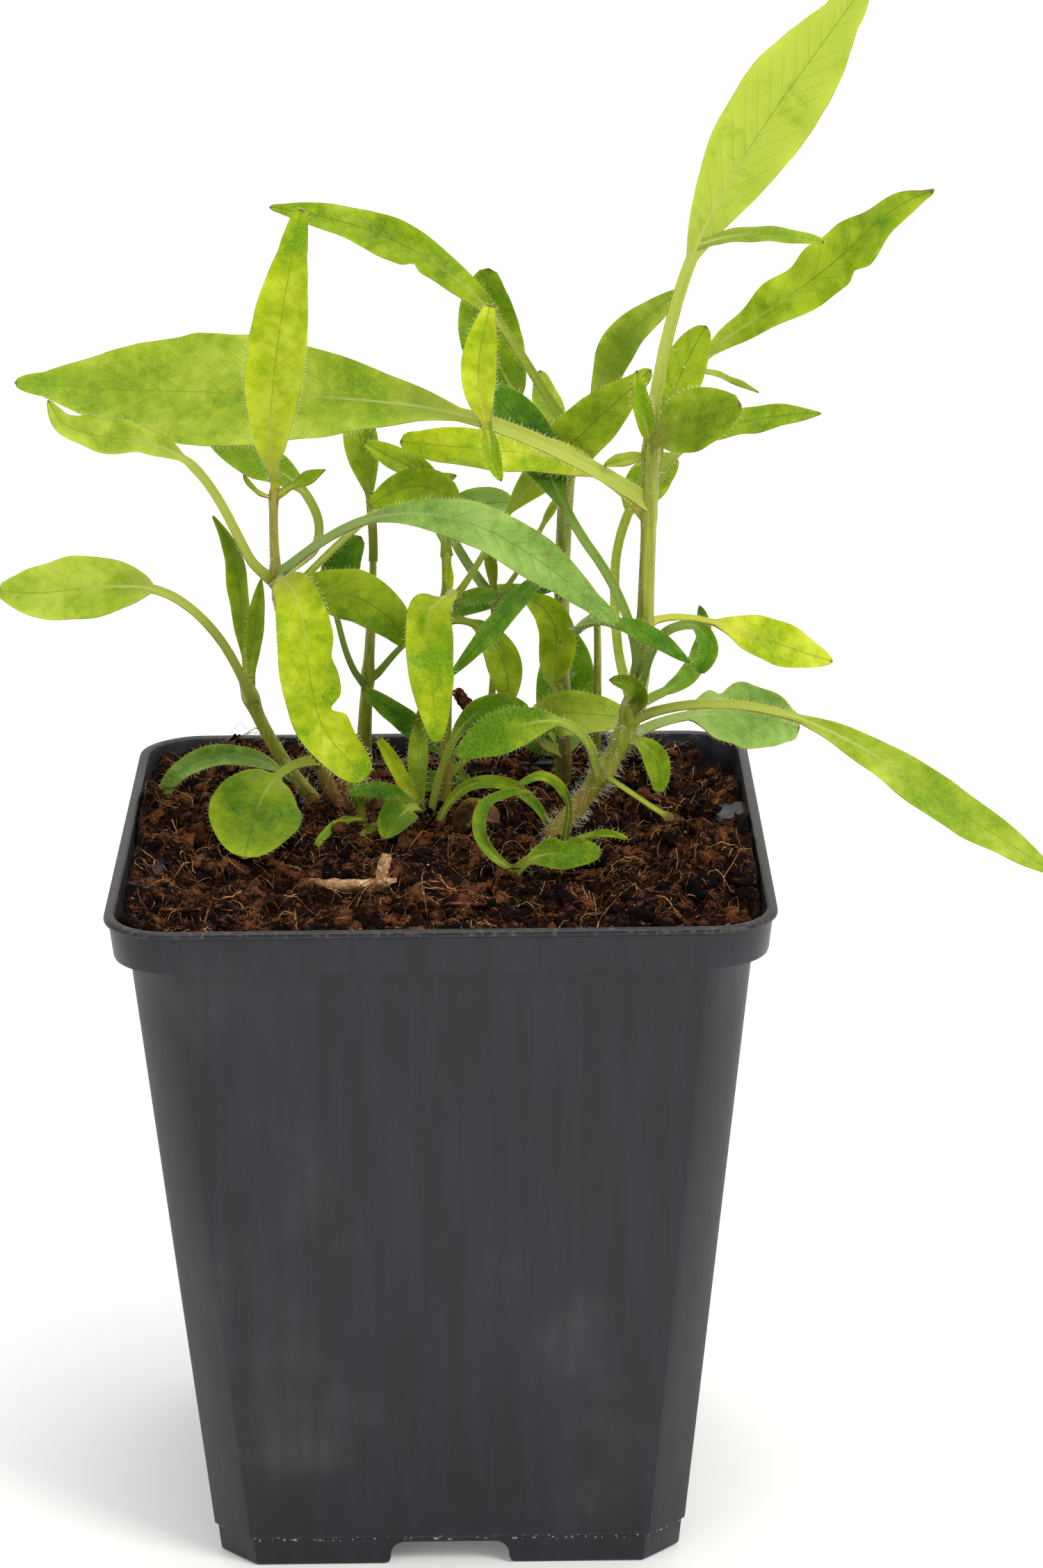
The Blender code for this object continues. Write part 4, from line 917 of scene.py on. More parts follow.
@dataclass
class PottingSoil:
    """Root ball of peat and coir: a ragged top with clumps, crumbs, fibres and grit lying on it."""

    axis: PotAxis
    edge_height: float = 93.3
    crown: float = 1.6
    crown_radius: float = 17.0
    inner_half: float = 43.1
    inner_corner: float = 8.2
    body_half: float = 40.2
    highest: float = 99.0
    base: float = 5.2
    base_half: float = 31.6
    rings: int = 74
    heaps: tuple[tuple[float, float, float, float], ...] = (
        (-41.0, 5.0, 17.0, 3.8),
        (-42.0, -36.0, 8.0, 1.8),
        (41.0, -8.0, 17.0, 4.0),
        (30.0, -26.0, 9.0, 1.6),
        (-8.0, -30.0, 12.0, 1.2),
        (-27.0, 42.0, 13.0, 3.0),
        (0.0, 43.0, 14.0, 3.2),
        (27.0, 42.0, 13.0, 3.4),
        (-29.0, -6.0, 10.0, -4.2),
    )
    fibres: int = 4200

    # The (size, shift, height) of the noise that makes the lumps and the small tears
    LUMPS = ((9.0, 0.0, 2.2), (4.0, 3.0, 1.8))
    TEARS = ((1.7, 7.0, 1.1), (0.8, 11.0, 0.6))
    PIT_SIZE = 4.6
    PIT_SHARE = 0.12
    PIT_DEPTH = 6.0
    BANK_RISE = 1.6
    BANK_REACH = 3.2
    EDGE_POINTS = 46
    # How small litter is spread: most pieces are near the low end of their sizes
    SMALL_BIAS = 1.8

    def height(self, x: float, y: float) -> float:
        """Return the height of the smooth mound at a place."""
        crown = self.crown * math.exp(-(x * x + y * y) / (2 * self.crown_radius**2))
        ripple = 0.25 * math.sin(x / 6.0) * math.cos(y / 7.0)
        return self.edge_height + crown - 0.012 * y + ripple

    def ragged(self, x: float, y: float) -> float:
        """Return the height of the ragged surface at a place."""
        spot = Vector((x, y, 0.0))
        lumps, tears = (
            sum(noise.noise(spot / size + UP * shift) * rise for size, shift, rise in layers)
            for layers in (self.LUMPS, self.TEARS)
        )
        pits = max(noise.noise(spot / self.PIT_SIZE + UP * 17.0) - self.PIT_SHARE, 0.0) * self.PIT_DEPTH
        wall = self.inner_half - max(abs(x), abs(y))
        bank = self.BANK_RISE * math.exp(-((wall / self.BANK_REACH) ** 2))
        bank *= 0.6 + noise.noise(spot / 7.0 + UP * 23.0)
        for heap_x, heap_y, reach, rise in self.heaps:
            bank += rise * math.exp(-((x - heap_x) ** 2 + (y - heap_y) ** 2) / reach**2)
        return min(self.height(x, y) + 0.5 + lumps + abs(tears) - pits + bank, self.highest)

    def outline(self, scale: float) -> list[Vector]:
        """Return evenly spread points round the soil's edge, scaled towards the middle."""
        points = []
        ring = rounded_square(self.inner_half, self.inner_corner, 0.4, 0.0, 12)
        count = len(ring)
        for index, point in enumerate(ring):
            after = ring[(index + 1) % count]
            parts = self.EDGE_POINTS if (after - point).length > self.inner_half / 4 else 1
            for step in range(parts):
                points.append((point + (after - point) * (step / parts)) * scale)
        return points

    def top(self) -> None:
        """Build the root ball with its ragged top."""
        stock = MeshStock()
        loops = []
        for z, half in (
            (self.base, self.base_half),
            (self.edge_height - 1.2, self.body_half),
            (self.edge_height + 0.3, self.body_half),
            (self.edge_height + 0.4, self.inner_half),
        ):
            loops.append([stock.point(Vector((p.x, p.y, z))) for p in self.outline(half / self.inner_half)])
        for ring in range(self.rings):
            scale = 1.0 - ring / self.rings
            loops.append([stock.point(Vector((p.x, p.y, self.ragged(p.x, p.y)))) for p in self.outline(scale)])
        stock.skin(loops)
        stock.piece("soil_ball", self.axis, (PEAT,), "soil", sharp=180.0)

    def spot(self, rng: random.Random, margin: float) -> tuple[float, float]:
        """Return a random place on the soil, at least a margin from the wall."""
        reach = self.inner_half - margin
        while True:
            x = rng.uniform(-reach, reach)
            y = rng.uniform(-reach, reach)
            if abs(x) + abs(y) < 2 * reach - self.inner_corner:
                return x, y

    def lump(
        self, stock: MeshStock, rng: random.Random, shape: tuple, size: float, sunk: float, rough: float
    ) -> None:
        """Add one ragged lump to a stock.

        Args:
            stock: The stock it goes to.
            rng: The source of chance.
            shape: The points and faces of a round body.
            size: Its radius.
            sunk: The share of the radius by which its middle lies under the surface.
            rough: How ragged it is.
        """
        x, y = self.spot(rng, size + 0.3)
        centre = Vector((x, y, self.ragged(x, y) - size * sunk))
        turn = Matrix.Rotation(rng.uniform(0, 2 * math.pi), 3, "Z")
        turn = turn @ Matrix.Rotation(rng.uniform(-0.6, 0.6), 3, "X")
        stretch = Vector((rng.uniform(0.8, 1.3), rng.uniform(0.7, 1.1), rng.uniform(0.6, 0.95)))
        seed = Vector((rng.uniform(0, 50), rng.uniform(0, 50), rng.uniform(0, 50)))
        tone = rng.uniform(-1.0, 1.0)
        points, faces = shape
        numbers = []
        for point in points:
            swell = 1.0 + noise.noise(point * 1.3 + seed) * rough
            swell += noise.noise(point * 3.5 + seed) * rough * 0.6
            local = turn @ Vector((point.x * stretch.x, point.y * stretch.y, point.z * stretch.z))
            numbers.append(stock.point(centre + local * size * swell, tone=tone))
        for corners in faces:
            stock.face(tuple(numbers[index] for index in corners))

    def round_body(self, subdivisions: int) -> tuple[list[Vector], list[tuple[int, ...]]]:
        """Return the points and faces of a unit ball of triangles."""
        bm = bmesh.new()
        bmesh.ops.create_icosphere(bm, subdivisions=subdivisions, radius=1.0)
        points = [vert.co.copy() for vert in bm.verts]
        faces = [tuple(vert.index for vert in face.verts) for face in bm.faces]
        bm.free()
        return points, faces

    def litter(self) -> None:
        """Build the clumps, crumbs and grit that lie on the soil."""
        for name, count, detail, low, high, sunk, rough, finish in (
            ("soil_clumps", 300, 3, 1.2, 2.8, 0.4, 0.95, CLUMP),
            ("soil_crumbs", 2300, 2, 0.4, 1.3, 0.1, 0.8, CLUMP),
            ("soil_specks", 6000, 1, 0.15, 0.42, -0.3, 0.7, CLUMP),
            ("soil_grit", 60, 2, 0.13, 0.3, -0.6, 0.3, GRIT),
        ):
            rng = random.Random(name)
            stock = MeshStock()
            shape = self.round_body(detail)
            for _ in range(count):
                size = low + (high - low) * rng.random() ** self.SMALL_BIAS
                self.lump(stock, rng, shape, size, sunk, rough)
            stock.piece(name, self.axis, (finish,), "", sharp=180.0)

    def strand(self, stock: MeshStock, rng: random.Random, length: float, width: float) -> None:
        """Add one bent fibre to a stock, lying on the ragged surface."""
        x, y = self.spot(rng, 2.0)
        heading = rng.uniform(0, 2 * math.pi)
        bend = rng.uniform(-0.5, 0.5)
        lift = rng.uniform(-0.2, 0.9)
        rise = rng.uniform(-0.1, 0.45)
        steps = 7
        centres = []
        widths = []
        for step in range(steps):
            part = step / (steps - 1)
            centres.append(Vector((x, y, self.ragged(x, y) + lift + rise * length * part * (1.0 - part) * 2)))
            widths.append(width * (1.0 - 0.7 * abs(2 * part - 1) ** 3))
            heading += bend + rng.uniform(-0.25, 0.25)
            x += length / steps * math.cos(heading)
            y += length / steps * math.sin(heading)
            reach = self.inner_half - 0.4
            x = min(max(x, -reach), reach)
            y = min(max(y, -reach), reach)
        stock.thread(centres, widths, 3, tone=rng.uniform(-1.0, 1.0))

    def coir(self) -> None:
        """Build the fibres that lie on the soil."""
        rng = random.Random("coir")
        stock = MeshStock()
        for _ in range(self.fibres):
            length = 1.5 + 10.0 * rng.random() ** 2.4
            self.strand(stock, rng, length, 0.05 + 0.15 * rng.random() ** 2.5)
        stock.piece("coir_fibres", self.axis, (COIR,), "")

    def build(self) -> None:
        """Build the soil and everything that lies loose on it."""
        self.top()
        self.litter()
        self.coir()


# ---------------------------------------------------------------- growth


# The spacing of a growth's points, and the gaps and depths at which growths meet, as in the frame
ROW_SPACING = 3.6
FEWEST_STEPS = 5
SEAT_GAP = 0.6
ROOT_GAP = 0.45
ROOT_RISE = 1.2
STALK_WIDTH = 1.3
GROWN_IN = 1.2
SHEATH_SHARE = 0.05
TWIST_CARRY = 0.35
UPPER_FACE_RISE = 0.6
NARROW_STALK_SHARE = 0.6
BLUNT_SHARE = 0.14
BLUNT_SLOWING = 0.25
TIP_WIDTH = 0.12


def blend(values: tuple[float, ...], part: float) -> float:
    """Return the value part of the way along some given at even steps from the base to the tip."""
    place = min(max(part, 0.0), 1.0) * (len(values) - 1)
    index = min(int(place), len(values) - 2)
    return values[index] + (values[index + 1] - values[index]) * (place - index)


def direction(lean: float, forward: float) -> Vector:
    """Return the unit direction of a growth from its lean and forward angles in degrees."""
    lean = math.radians(lean)
    forward = math.radians(forward)
    flat = math.cos(forward)
    return Vector((math.sin(lean) * flat, -math.sin(forward), math.cos(lean) * flat))


def grow(start: Vector, length: float, lean: tuple[float, ...], forward: tuple[float, ...]) -> list[Vector]:
    """Return the points of a growth that follows its angles from a starting point."""
    steps = max(FEWEST_STEPS, round(length / ROW_SPACING))
    points = [start.copy()]
    for step in range(steps):
        part = (step + 0.5) / steps
        points.append(points[-1] + direction(blend(lean, part), blend(forward, part)) * (length / steps))
    return points


@dataclass(frozen=True)
class SmoothLine:
    """A smooth line through the points of a growth; a place on it counts in points from its start."""

    points: tuple[Vector, ...]

    def at(self, place: float) -> Vector:
        """Return the point at a place."""
        last = len(self.points) - 1
        index = min(max(int(place), 0), last - 1)
        t = place - index
        p0, p1, p2, p3 = (self.points[min(max(index + step, 0), last)] for step in (-1, 0, 1, 2))
        return 0.5 * (
            2 * p1 + (p2 - p0) * t + (2 * p0 - 5 * p1 + 4 * p2 - p3) * t * t + (3 * p1 - p0 - 3 * p2 + p3) * t**3
        )

    def heading(self, place: float) -> Vector:
        """Return the unit direction at a place."""
        last = len(self.points) - 1
        step = 0.05
        return (self.at(min(place + step, last)) - self.at(max(place - step, 0.0))).normalized()

    def frame(self, place: float) -> tuple[Vector, Vector, Vector]:
        """Return the direction at a place, and the two directions square to it that start near +X."""
        along = self.heading(place)
        across = (Vector((1.0, 0.0, 0.0)) - along * along.x).normalized()
        return along, across, along.cross(across)


@dataclass(frozen=True)
class Stem:
    """A stem: where it stands in the soil, its length, how it leans, and its hair.

    lean and forward hold degrees at even steps from the base to the tip. A lean of 0 is upright, 90 points
    to +X and -90 to -X. A positive forward angle comes towards the pot's front. hair holds the
    (lowest height, highest height, hairs per millimetre) of each hairy stretch.
    """

    name: str
    foot: tuple[float, float]
    length: float
    lean: tuple[float, ...]
    forward: tuple[float, ...]
    thick: float
    thin: float
    skin: StemSkin = STEM_GREEN
    hair: tuple[tuple[float, float, float], ...] = ((93.0, 160.0, 2.0),)


class Outline(Enum):
    """How far along the blade each shape is widest, and how full its outline is (less is fuller)."""

    LANCE = (0.55, 0.85)
    SPOON = (0.57, 1.0)
    OVAL = (0.5, 0.6)
    STRAP = (0.5, 0.4)


@dataclass(frozen=True)
class Look:
    """How one leaf differs from a plain one.

    wave is the height of its margin's ruffles, twist the degrees it turns about its midrib at even steps,
    cup how much its sides rise, and blunt how round its tip is. Each notch is (part along the blade, side,
    depth, length) and each hole (part along the blade, share across, radius). hairs counts hairs per
    millimetre of margin, and red is how strong the margin's line is. tone is below 0 for a darker leaf and
    above 0 for a lighter one, brown_tip is the length of the dry end, and stalk_share is the stalk's width
    as a share of the usual one.
    """

    wave: float = 0.3
    twist: tuple[float, ...] = (0.0, 0.0)
    cup: float = 0.16
    blunt: float = 0.3
    notches: tuple[tuple[float, int, float, float], ...] = ()
    holes: tuple[tuple[float, float, float], ...] = ()
    hairs: float = 0.9
    red: float = 1.0
    tone: float = 0.0
    brown_tip: float = 0.4
    stalk_share: float = 1.0


PLAIN = Look()


@dataclass(frozen=True)
class Leaf:
    """A leaf: what carries it, the shape and tint of its blade, how it leans, its size and its look.

    at is the height on a stem, the length along a parent leaf, or the (x, y) place in the soil. A leaf that
    grows as one with its neighbour names that neighbour's CAD node.
    """

    name: str
    carrier: str
    at: float | tuple[float, float]
    outline: Outline
    tint: Tint
    lean: tuple[float, ...]
    forward: tuple[float, ...]
    stalk: float
    blade: float
    width: float
    node: str = ""
    roll: float = 0.0
    look: Look = PLAIN

    def home_node(self) -> str:
        """Return the CAD node that the leaf belongs to."""
        return self.node or self.name

    def width_at(self, along: float) -> float:
        """Return the leaf's width at a length along it."""
        stalk_width = min(STALK_WIDTH, self.width * NARROW_STALK_SHARE) * self.look.stalk_share
        if along <= self.stalk:
            return stalk_width
        part = min((along - self.stalk) / self.blade, 1.0)
        turn = 1.0 - BLUNT_SHARE * self.look.blunt
        fade = 1.0
        if part > turn:
            fade = math.sqrt(max(1.0 - ((part - turn) / (1.0 - turn)) ** 2, 0.0))
            part = turn + (part - turn) * BLUNT_SLOWING
        widest, fullness = self.outline.value
        warped = part ** (math.log(0.5) / math.log(widest))
        shape = max(math.sin(math.pi * warped), 0.0) ** fullness
        return max(max(stalk_width * (1.0 - part), self.width * shape) * fade, TIP_WIDTH)

    def notch_at(self, along: float, side: int) -> float:
        """Return how deep the notches cut into one side at a length along the leaf."""
        depth = 0.0
        for part, notch_side, cut, length in self.look.notches:
            if notch_side == side:
                middle = self.stalk + self.blade * part
                depth += cut * math.exp(-(((along - middle) / (length / 2)) ** 2))
        return depth


# The short names keep the table of leaves readable.
LANCE, SPOON, OVAL, STRAP = Outline
YOUNG, MID, PALE, GREY, DARK, OLIVE, BROWN = Tint

STEMS = (
    Stem("stem_right", (16.2, 4), 62, (37, 32, 9, 2, 2, 2), (8, 6, 2, 0, -4), 2.9, 1.8,
         hair=((94, 113, 34.0), (113, 143, 4.0), (143, 153, 10.0))),
    Stem("stem_left_red", (-15.5, 20), 51, (-20, -13, -5, 4), (8, 9, 9, 8), 2.2, 1.1, STEM_RED,
         hair=((94, 122, 10.0), (122, 136, 22.0), (136, 146, 5.0))),
    Stem("stem_left_green", (-19, 24), 21, (-38, -28, -15), (4, 2, 0), 1.9, 1.8, hair=((94, 114, 9.0),)),
    Stem("stem_centre_left", (-11.6, 33), 36, (-2, 5, 4, 2), (8, 7, 4), 2.5, 0.9, hair=((94, 132, 5.0),)),
    Stem("stem_centre", (0.2, 21), 46, (2, 1, 0), (10, 10, 8), 1.7, 1.2, hair=((94, 142, 4.0),)),
    Stem("stem_back", (17.5, 27), 53, (0, 0, 6), (1, 1, 0), 1.9, 2.2, STEM_OLD,
         hair=((94, 135, 4.0), (135, 149, 14.0))),
    Stem("stem_back_pale", (22, 23), 31, (2, 1, -2), (10, 10, 6), 1.5, 0.9, STEM_OLD,
         hair=((94, 124, 2.0),)),
)

LEAVES = (
    # Right stem, around its top
    Leaf("tall_right_leaf", "stem_right", 155, LANCE, PALE, lean=(8, 17, 31, 37, 37),
         forward=(-14, -10, -8), stalk=21, blade=46, width=12, look=Look(wave=0.5, blunt=0.8, tone=1.4,
         hairs=0.3, stalk_share=1.3)),
    Leaf("tall_right_lobe", "tall_right_leaf", 25, STRAP, PALE, node="tall_right_leaf", lean=(65, 88, 105),
         forward=(20, 14, 0), stalk=1, blade=17, width=2.2),
    Leaf("wavy_right_leaf", "stem_right", 149, LANCE, MID, lean=(14, 28, 58, 54, 42, 70),
         forward=(-34, -10, -2, 6, 12), stalk=16, blade=41, width=7.5, look=Look(wave=1.1,
         twist=(0, 0, 6, -10, 30, 60), notches=((0.62, 1, 0.9, 2.2),), hairs=0.3, tone=0.5, brown_tip=1.2)),
    Leaf("upright_right_leaf", "stem_right", 151, OVAL, MID, lean=(14, 22, 34), forward=(-22, -20, -14),
         stalk=4, blade=15.5, width=6.2, look=Look(tone=0.3)),
    Leaf("thin_right_lobe", "upright_right_leaf", 13, STRAP, PALE, node="upright_right_leaf",
         lean=(96, 112, 118), forward=(0, -2, 4), stalk=1, blade=10, width=0.9),
    Leaf("round_olive_leaf", "stem_right", 153, OVAL, OLIVE, lean=(30, 62, 72), forward=(50, 22, 10),
         stalk=2, blade=13.5, width=8.6, look=Look(wave=0.25, hairs=2.2, blunt=0.5)),
    Leaf("behind_olive_leaf", "stem_right", 147, LANCE, MID, lean=(32, 80, 92), forward=(-45, -18, -8),
         stalk=5, blade=23.5, width=4, look=Look(wave=0.5, notches=((0.45, -1, 0.7, 1.5),))),
    Leaf("right_bract_tall", "stem_right", 152, OVAL, YOUNG, node="stem_right", lean=(-12, -12, -4),
         forward=(16, 10, 4), stalk=1, blade=11, width=2.6, look=Look(cup=0.7, hairs=1.8, tone=-0.8,
         red=2.5)),
    Leaf("right_bract_low", "stem_right", 151, OVAL, OLIVE, node="stem_right", lean=(-76, -96, -108),
         forward=(30, 20, 12), stalk=1, blade=6, width=1.9, look=Look(cup=0.4, hairs=1.8, tone=0.6,
         red=2.0)),
    Leaf("big_left_leaf", "stem_right", 145.5, SPOON, PALE, lean=(-52, -68, -88, -93, -90, -84),
         forward=(14, -6, -20, -24, -10, 0), stalk=23, blade=70, width=16.5, look=Look(wave=0.3, blunt=0.4,
         hairs=1.6, twist=(0, 0, 0, 0, 6), stalk_share=1.6)),
    Leaf("big_left_lobe", "big_left_leaf", 24, OVAL, YOUNG, node="big_left_leaf", lean=(-14, -4, 10, 14),
         forward=(35, 16, 4), stalk=1, blade=18, width=4.8, look=Look(cup=0.3, hairs=1.6, blunt=0.5)),
    Leaf("big_left_curl", "big_left_leaf", 24, OVAL, YOUNG, node="big_left_leaf", lean=(165, 170, 150),
         forward=(55, 30, 20), stalk=1, blade=8, width=2.4, look=Look(cup=0.9, hairs=1.8, tone=-0.5)),
    Leaf("yellow_cross_leaf", "stem_right", 143, STRAP, YOUNG, lean=(-45, -82, -84), forward=(-45, 10, 0),
         stalk=9, blade=28, width=6, look=Look(wave=0.4, blunt=0.6)),
    # Right stem, its middle and foot
    Leaf("dark_green_leaf", "stem_right", 120, LANCE, DARK, lean=(2, -20, -40, -26, -36, -52),
         forward=(26, -4, -38, -30, -18, -14), stalk=27, blade=24, width=7),
    Leaf("holed_back_leaf", "stem_right", 116, OVAL, MID, lean=(-26, -5, 3, 26, 60), forward=(-60, -8, -2),
         stalk=28, blade=10.5, width=6,
         look=Look(holes=((0.3, 0.1, 0.6), (0.45, 0.45, 0.4), (0.5, -0.2, 0.35), (0.7, 0.3, 0.3)),
         hairs=2.0)),
    Leaf("right_yellow_leaf", "stem_right", 127, LANCE, YOUNG, lean=(95, 112, 114, 108),
         forward=(-62, -34, -10, 0), stalk=13, blade=20, width=6.5, look=Look(tone=0.3, stalk_share=0.7)),
    Leaf("hooked_right_leaf", "stem_right", 117.6, STRAP, DARK, lean=(12, 18, 46, 150, 230),
         forward=(22, 6, 0, 10), stalk=14.4, blade=8, width=2.6, look=Look(cup=0.6)),
    Leaf("olive_right_leaf", "stem_right", 115, OVAL, DARK, lean=(85, 75, 20, -20), forward=(-60, -26, -8),
         stalk=5, blade=16, width=3, roll=25),
    Leaf("silvery_leaf", "stem_right", 111, OVAL, GREY, lean=(70, 98, 112), forward=(-30, -20, -12),
         stalk=9, blade=17.5, width=9.6, look=Look(wave=0.5, notches=((0.3, -1, 1.2, 2.2),), tone=0.5,
         blunt=0.7)),
    Leaf("long_right_leaf", "stem_right", 114.5, LANCE, PALE, lean=(54, 84, 110, 124, 122, 122),
         forward=(40, 16, 10, 8), stalk=22, blade=46, width=5.9, look=Look(wave=0.5, tone=-0.2)),
    Leaf("folded_bract", "stem_right", 114, OVAL, OLIVE, node="stem_right", lean=(28, -12, -90),
         forward=(50, 42, 10), stalk=2, blade=10, width=3, look=Look(cup=0.8, hairs=1.6, tone=-0.8,
         red=4.0)),
    Leaf("hanging_right_leaf", "stem_right", 110, OVAL, MID, node="stem_right", lean=(66, 150, 200),
         forward=(30, 18, 10), stalk=2, blade=9, width=3.5),
    Leaf("cut_stalk", "stem_right", 105, STRAP, MID, node="stem_right", lean=(92, 112, 118, 112),
         forward=(62, 46, 30, 25), stalk=12, blade=2, width=1.3, look=Look(blunt=0.0, hairs=0.0,
         brown_tip=2.2)),
    Leaf("broad_front_leaf", "stem_right", 105.5, LANCE, MID, lean=(-14, -12, -46, -98, -112, -118),
         forward=(52, 34, 22, 10, 4), stalk=14, blade=16.5, width=6, look=Look(blunt=0.5, tone=-0.8)),
    # Back stems
    Leaf("hooked_top_leaf", "stem_back", 144, LANCE, PALE, lean=(26, 10, 14, 44, 50),
         forward=(20, 30, 30, 20), stalk=7, blade=31, width=5.2, look=Look(wave=0.5, tone=0.3)),
    Leaf("arch_top_leaf", "stem_back", 148, LANCE, MID, lean=(-34, -30, -34, -50, -62, -74, -80),
         forward=(4, 6, 6), stalk=17, blade=40, width=5.8, look=Look(wave=0.6,
         notches=((0.45, -1, 0.9, 1.8),))),
    Leaf("back_green_leaf", "stem_back", 146, OVAL, MID, lean=(-48, -25, 12), forward=(-20, -14, -6),
         stalk=9, blade=20, width=9, look=Look(tone=-0.4)),
    Leaf("pale_back_leaf", "stem_back", 144, OVAL, PALE, node="stem_back", lean=(-20, -22, -8),
         forward=(-40, -36, -20), stalk=2, blade=13, width=4.4),
    Leaf("dark_lower_leaf", "stem_back", 100, OVAL, DARK, node="stem_back", lean=(-55, -55, -50),
         forward=(5, 0, 0), stalk=1, blade=10, width=4),
    # Its tone of 1.0 lightens it against the shade it falls in: painted light.
    Leaf("bright_low_leaf", "stem_back", 101.5, OVAL, PALE, lean=(-70, 20, 92, 96), forward=(40, 44, 14, 4),
         stalk=5, blade=19, width=6.5, look=Look(tone=1.0)),
    Leaf("folded_back_leaf", "stem_back", 110.5, OVAL, MID, lean=(-40, 8, 4, -30, -70),
         forward=(55, 14, 4, 0), stalk=3, blade=16, width=5.4, look=Look(holes=((0.45, 0.2, 0.3),), cup=0.5,
         tone=0.6)),
    Leaf("back_broad_leaf", "stem_back", 98, OVAL, DARK, lean=(6, 2, -4), forward=(-62, -6, 0), stalk=2,
         blade=20, width=9, look=Look(tone=0.9)),
    Leaf("dark_lance_leaf", "stem_back", 125.6, LANCE, DARK, lean=(10, 0, -116, -134, -134, -134),
         forward=(60, 55, 40, 25, 15), stalk=10, blade=25.5, width=3, look=Look(tone=0.5)),
    Leaf("dark_cross_leaf", "stem_back_pale", 123.6, LANCE, DARK, lean=(-75, -60, 0, 80, 118, 128),
         forward=(66, 80, 74, 30, 12, 8), stalk=20.5, blade=15.5, width=2.8),
    # Centre stems
    Leaf("diagonal_leaf", "stem_centre", 127.5, LANCE, MID, lean=(36, 27, 38, 43, 45, 45),
         forward=(4, 8, 14, 12, 8), stalk=14, blade=31, width=7.6, look=Look(tone=0.9, blunt=0.6,
         stalk_share=0.65)),
    Leaf("small_arch_leaf", "stem_centre", 141, OVAL, MID, lean=(-20, -64, -58), forward=(-8, -5, -4),
         stalk=1, blade=14, width=3.6, look=Look(cup=0.5)),
    Leaf("folded_centre_leaf", "stem_centre", 134.5, OVAL, MID, node="stem_centre",
         lean=(-4, 2, -10, -80, -112, -128), forward=(40, 20, 10, 14, 8, 4), stalk=2, blade=19, width=5.2,
         look=Look(hairs=1.8, tone=0.2)),
    Leaf("side_branch", "stem_centre", 99, STRAP, OLIVE, node="stem_centre", lean=(56, 24, 6, 0, -2),
         forward=(-10, 6, 6), stalk=29, blade=2, width=1.7),
    Leaf("side_branch_grey", "side_branch", 29, OVAL, GREY, node="stem_centre",
         lean=(-34, -36, -28, 30, 82, 95), forward=(-6, -4, 0), stalk=10, blade=12, width=5.5,
         look=Look(tone=0.6)),
    Leaf("side_branch_olive", "side_branch", 30, OVAL, OLIVE, node="stem_centre", lean=(0, -8, -14),
         forward=(6, 4, 0), stalk=1, blade=8, width=1.8, look=Look(cup=0.6, hairs=1.6)),
    Leaf("side_branch_stalk", "side_branch", 29, STRAP, OLIVE, node="stem_centre", lean=(44, 30, 28, 34),
         forward=(10, -6, -4), stalk=13, blade=6, width=1.2, look=Look(tone=0.5)),
    Leaf("centre_node_yellow", "stem_centre", 127, OVAL, YOUNG, node="stem_centre", lean=(8, 2, 6),
         forward=(25, 12, 0), stalk=1, blade=5, width=1.5),
    Leaf("centre_node_dark", "stem_centre", 126, OVAL, DARK, node="stem_centre", lean=(60, 70, 95),
         forward=(34, 8, -6), stalk=2, blade=6, width=2.2, look=Look(tone=0.6, stalk_share=0.7)),
    Leaf("front_centre_leaf", "stem_centre", 126.6, OVAL, YOUNG, lean=(18, -30, -178, -186, -182),
         forward=(50, 80, 40, 20, 14), stalk=7, blade=27, width=6.6, look=Look(wave=0.35, hairs=1.2,
         blunt=0.0, tone=-0.5)),
    Leaf("pale_hanging_leaf", "stem_centre", 124.2, LANCE, MID, lean=(82, 140, 168, 190),
         forward=(20, 12, 8), stalk=1.5, blade=15, width=5, look=Look(tone=0.5, blunt=0.0,
         stalk_share=0.65)),
    Leaf("trumpet_leaf", "stem_centre_left", 132, SPOON, OLIVE, lean=(0, -9, -4), forward=(0, 0, 0),
         stalk=6, blade=18, width=5, look=Look(cup=0.45, tone=0.6)),
    Leaf("dark_oval_leaf", "stem_centre_left", 111, OVAL, DARK, lean=(-30, -16, -10, 20, 44),
         forward=(48, 0, -12, -6), stalk=13, blade=12, width=5.5, look=Look(stalk_share=0.65)),
    Leaf("dark_side_leaf", "stem_centre_left", 112, LANCE, DARK, lean=(38, 46, 64, 80, 88),
         forward=(4, 4, 6), stalk=6, blade=24, width=3.6, look=Look(tone=0.6, stalk_share=0.65)),
    # Left stems
    Leaf("tall_left_leaf", "stem_left_red", 146, LANCE, YOUNG, lean=(-2, 8, 13), forward=(58, 27, 3),
         stalk=2, blade=49, width=8, look=Look(wave=0.35, blunt=0.9, hairs=1.4, tone=0.2)),
    Leaf("left_bract", "stem_left_red", 143, STRAP, YOUNG, node="stem_left_red", lean=(-70, -48, -20),
         forward=(35, 15, 5), stalk=1, blade=5, width=0.8, look=Look(tone=-1.0, red=3.0)),
    Leaf("left_bract_paddle", "stem_left_red", 143, SPOON, YOUNG, node="stem_left_red", lean=(52, 58, 65),
         forward=(25, 15, 5), stalk=2, blade=7, width=1.9, look=Look(tone=-0.4, red=2.0)),
    Leaf("arch_front_leaf", "stem_left_red", 132, LANCE, GREY, lean=(40, 44, 54, 76, 99, 119, 128, 130),
         forward=(46, 38, 26, 16, 12), stalk=21, blade=42.5, width=6.5, look=Look(wave=0.45, tone=0.3,
         blunt=0.8)),
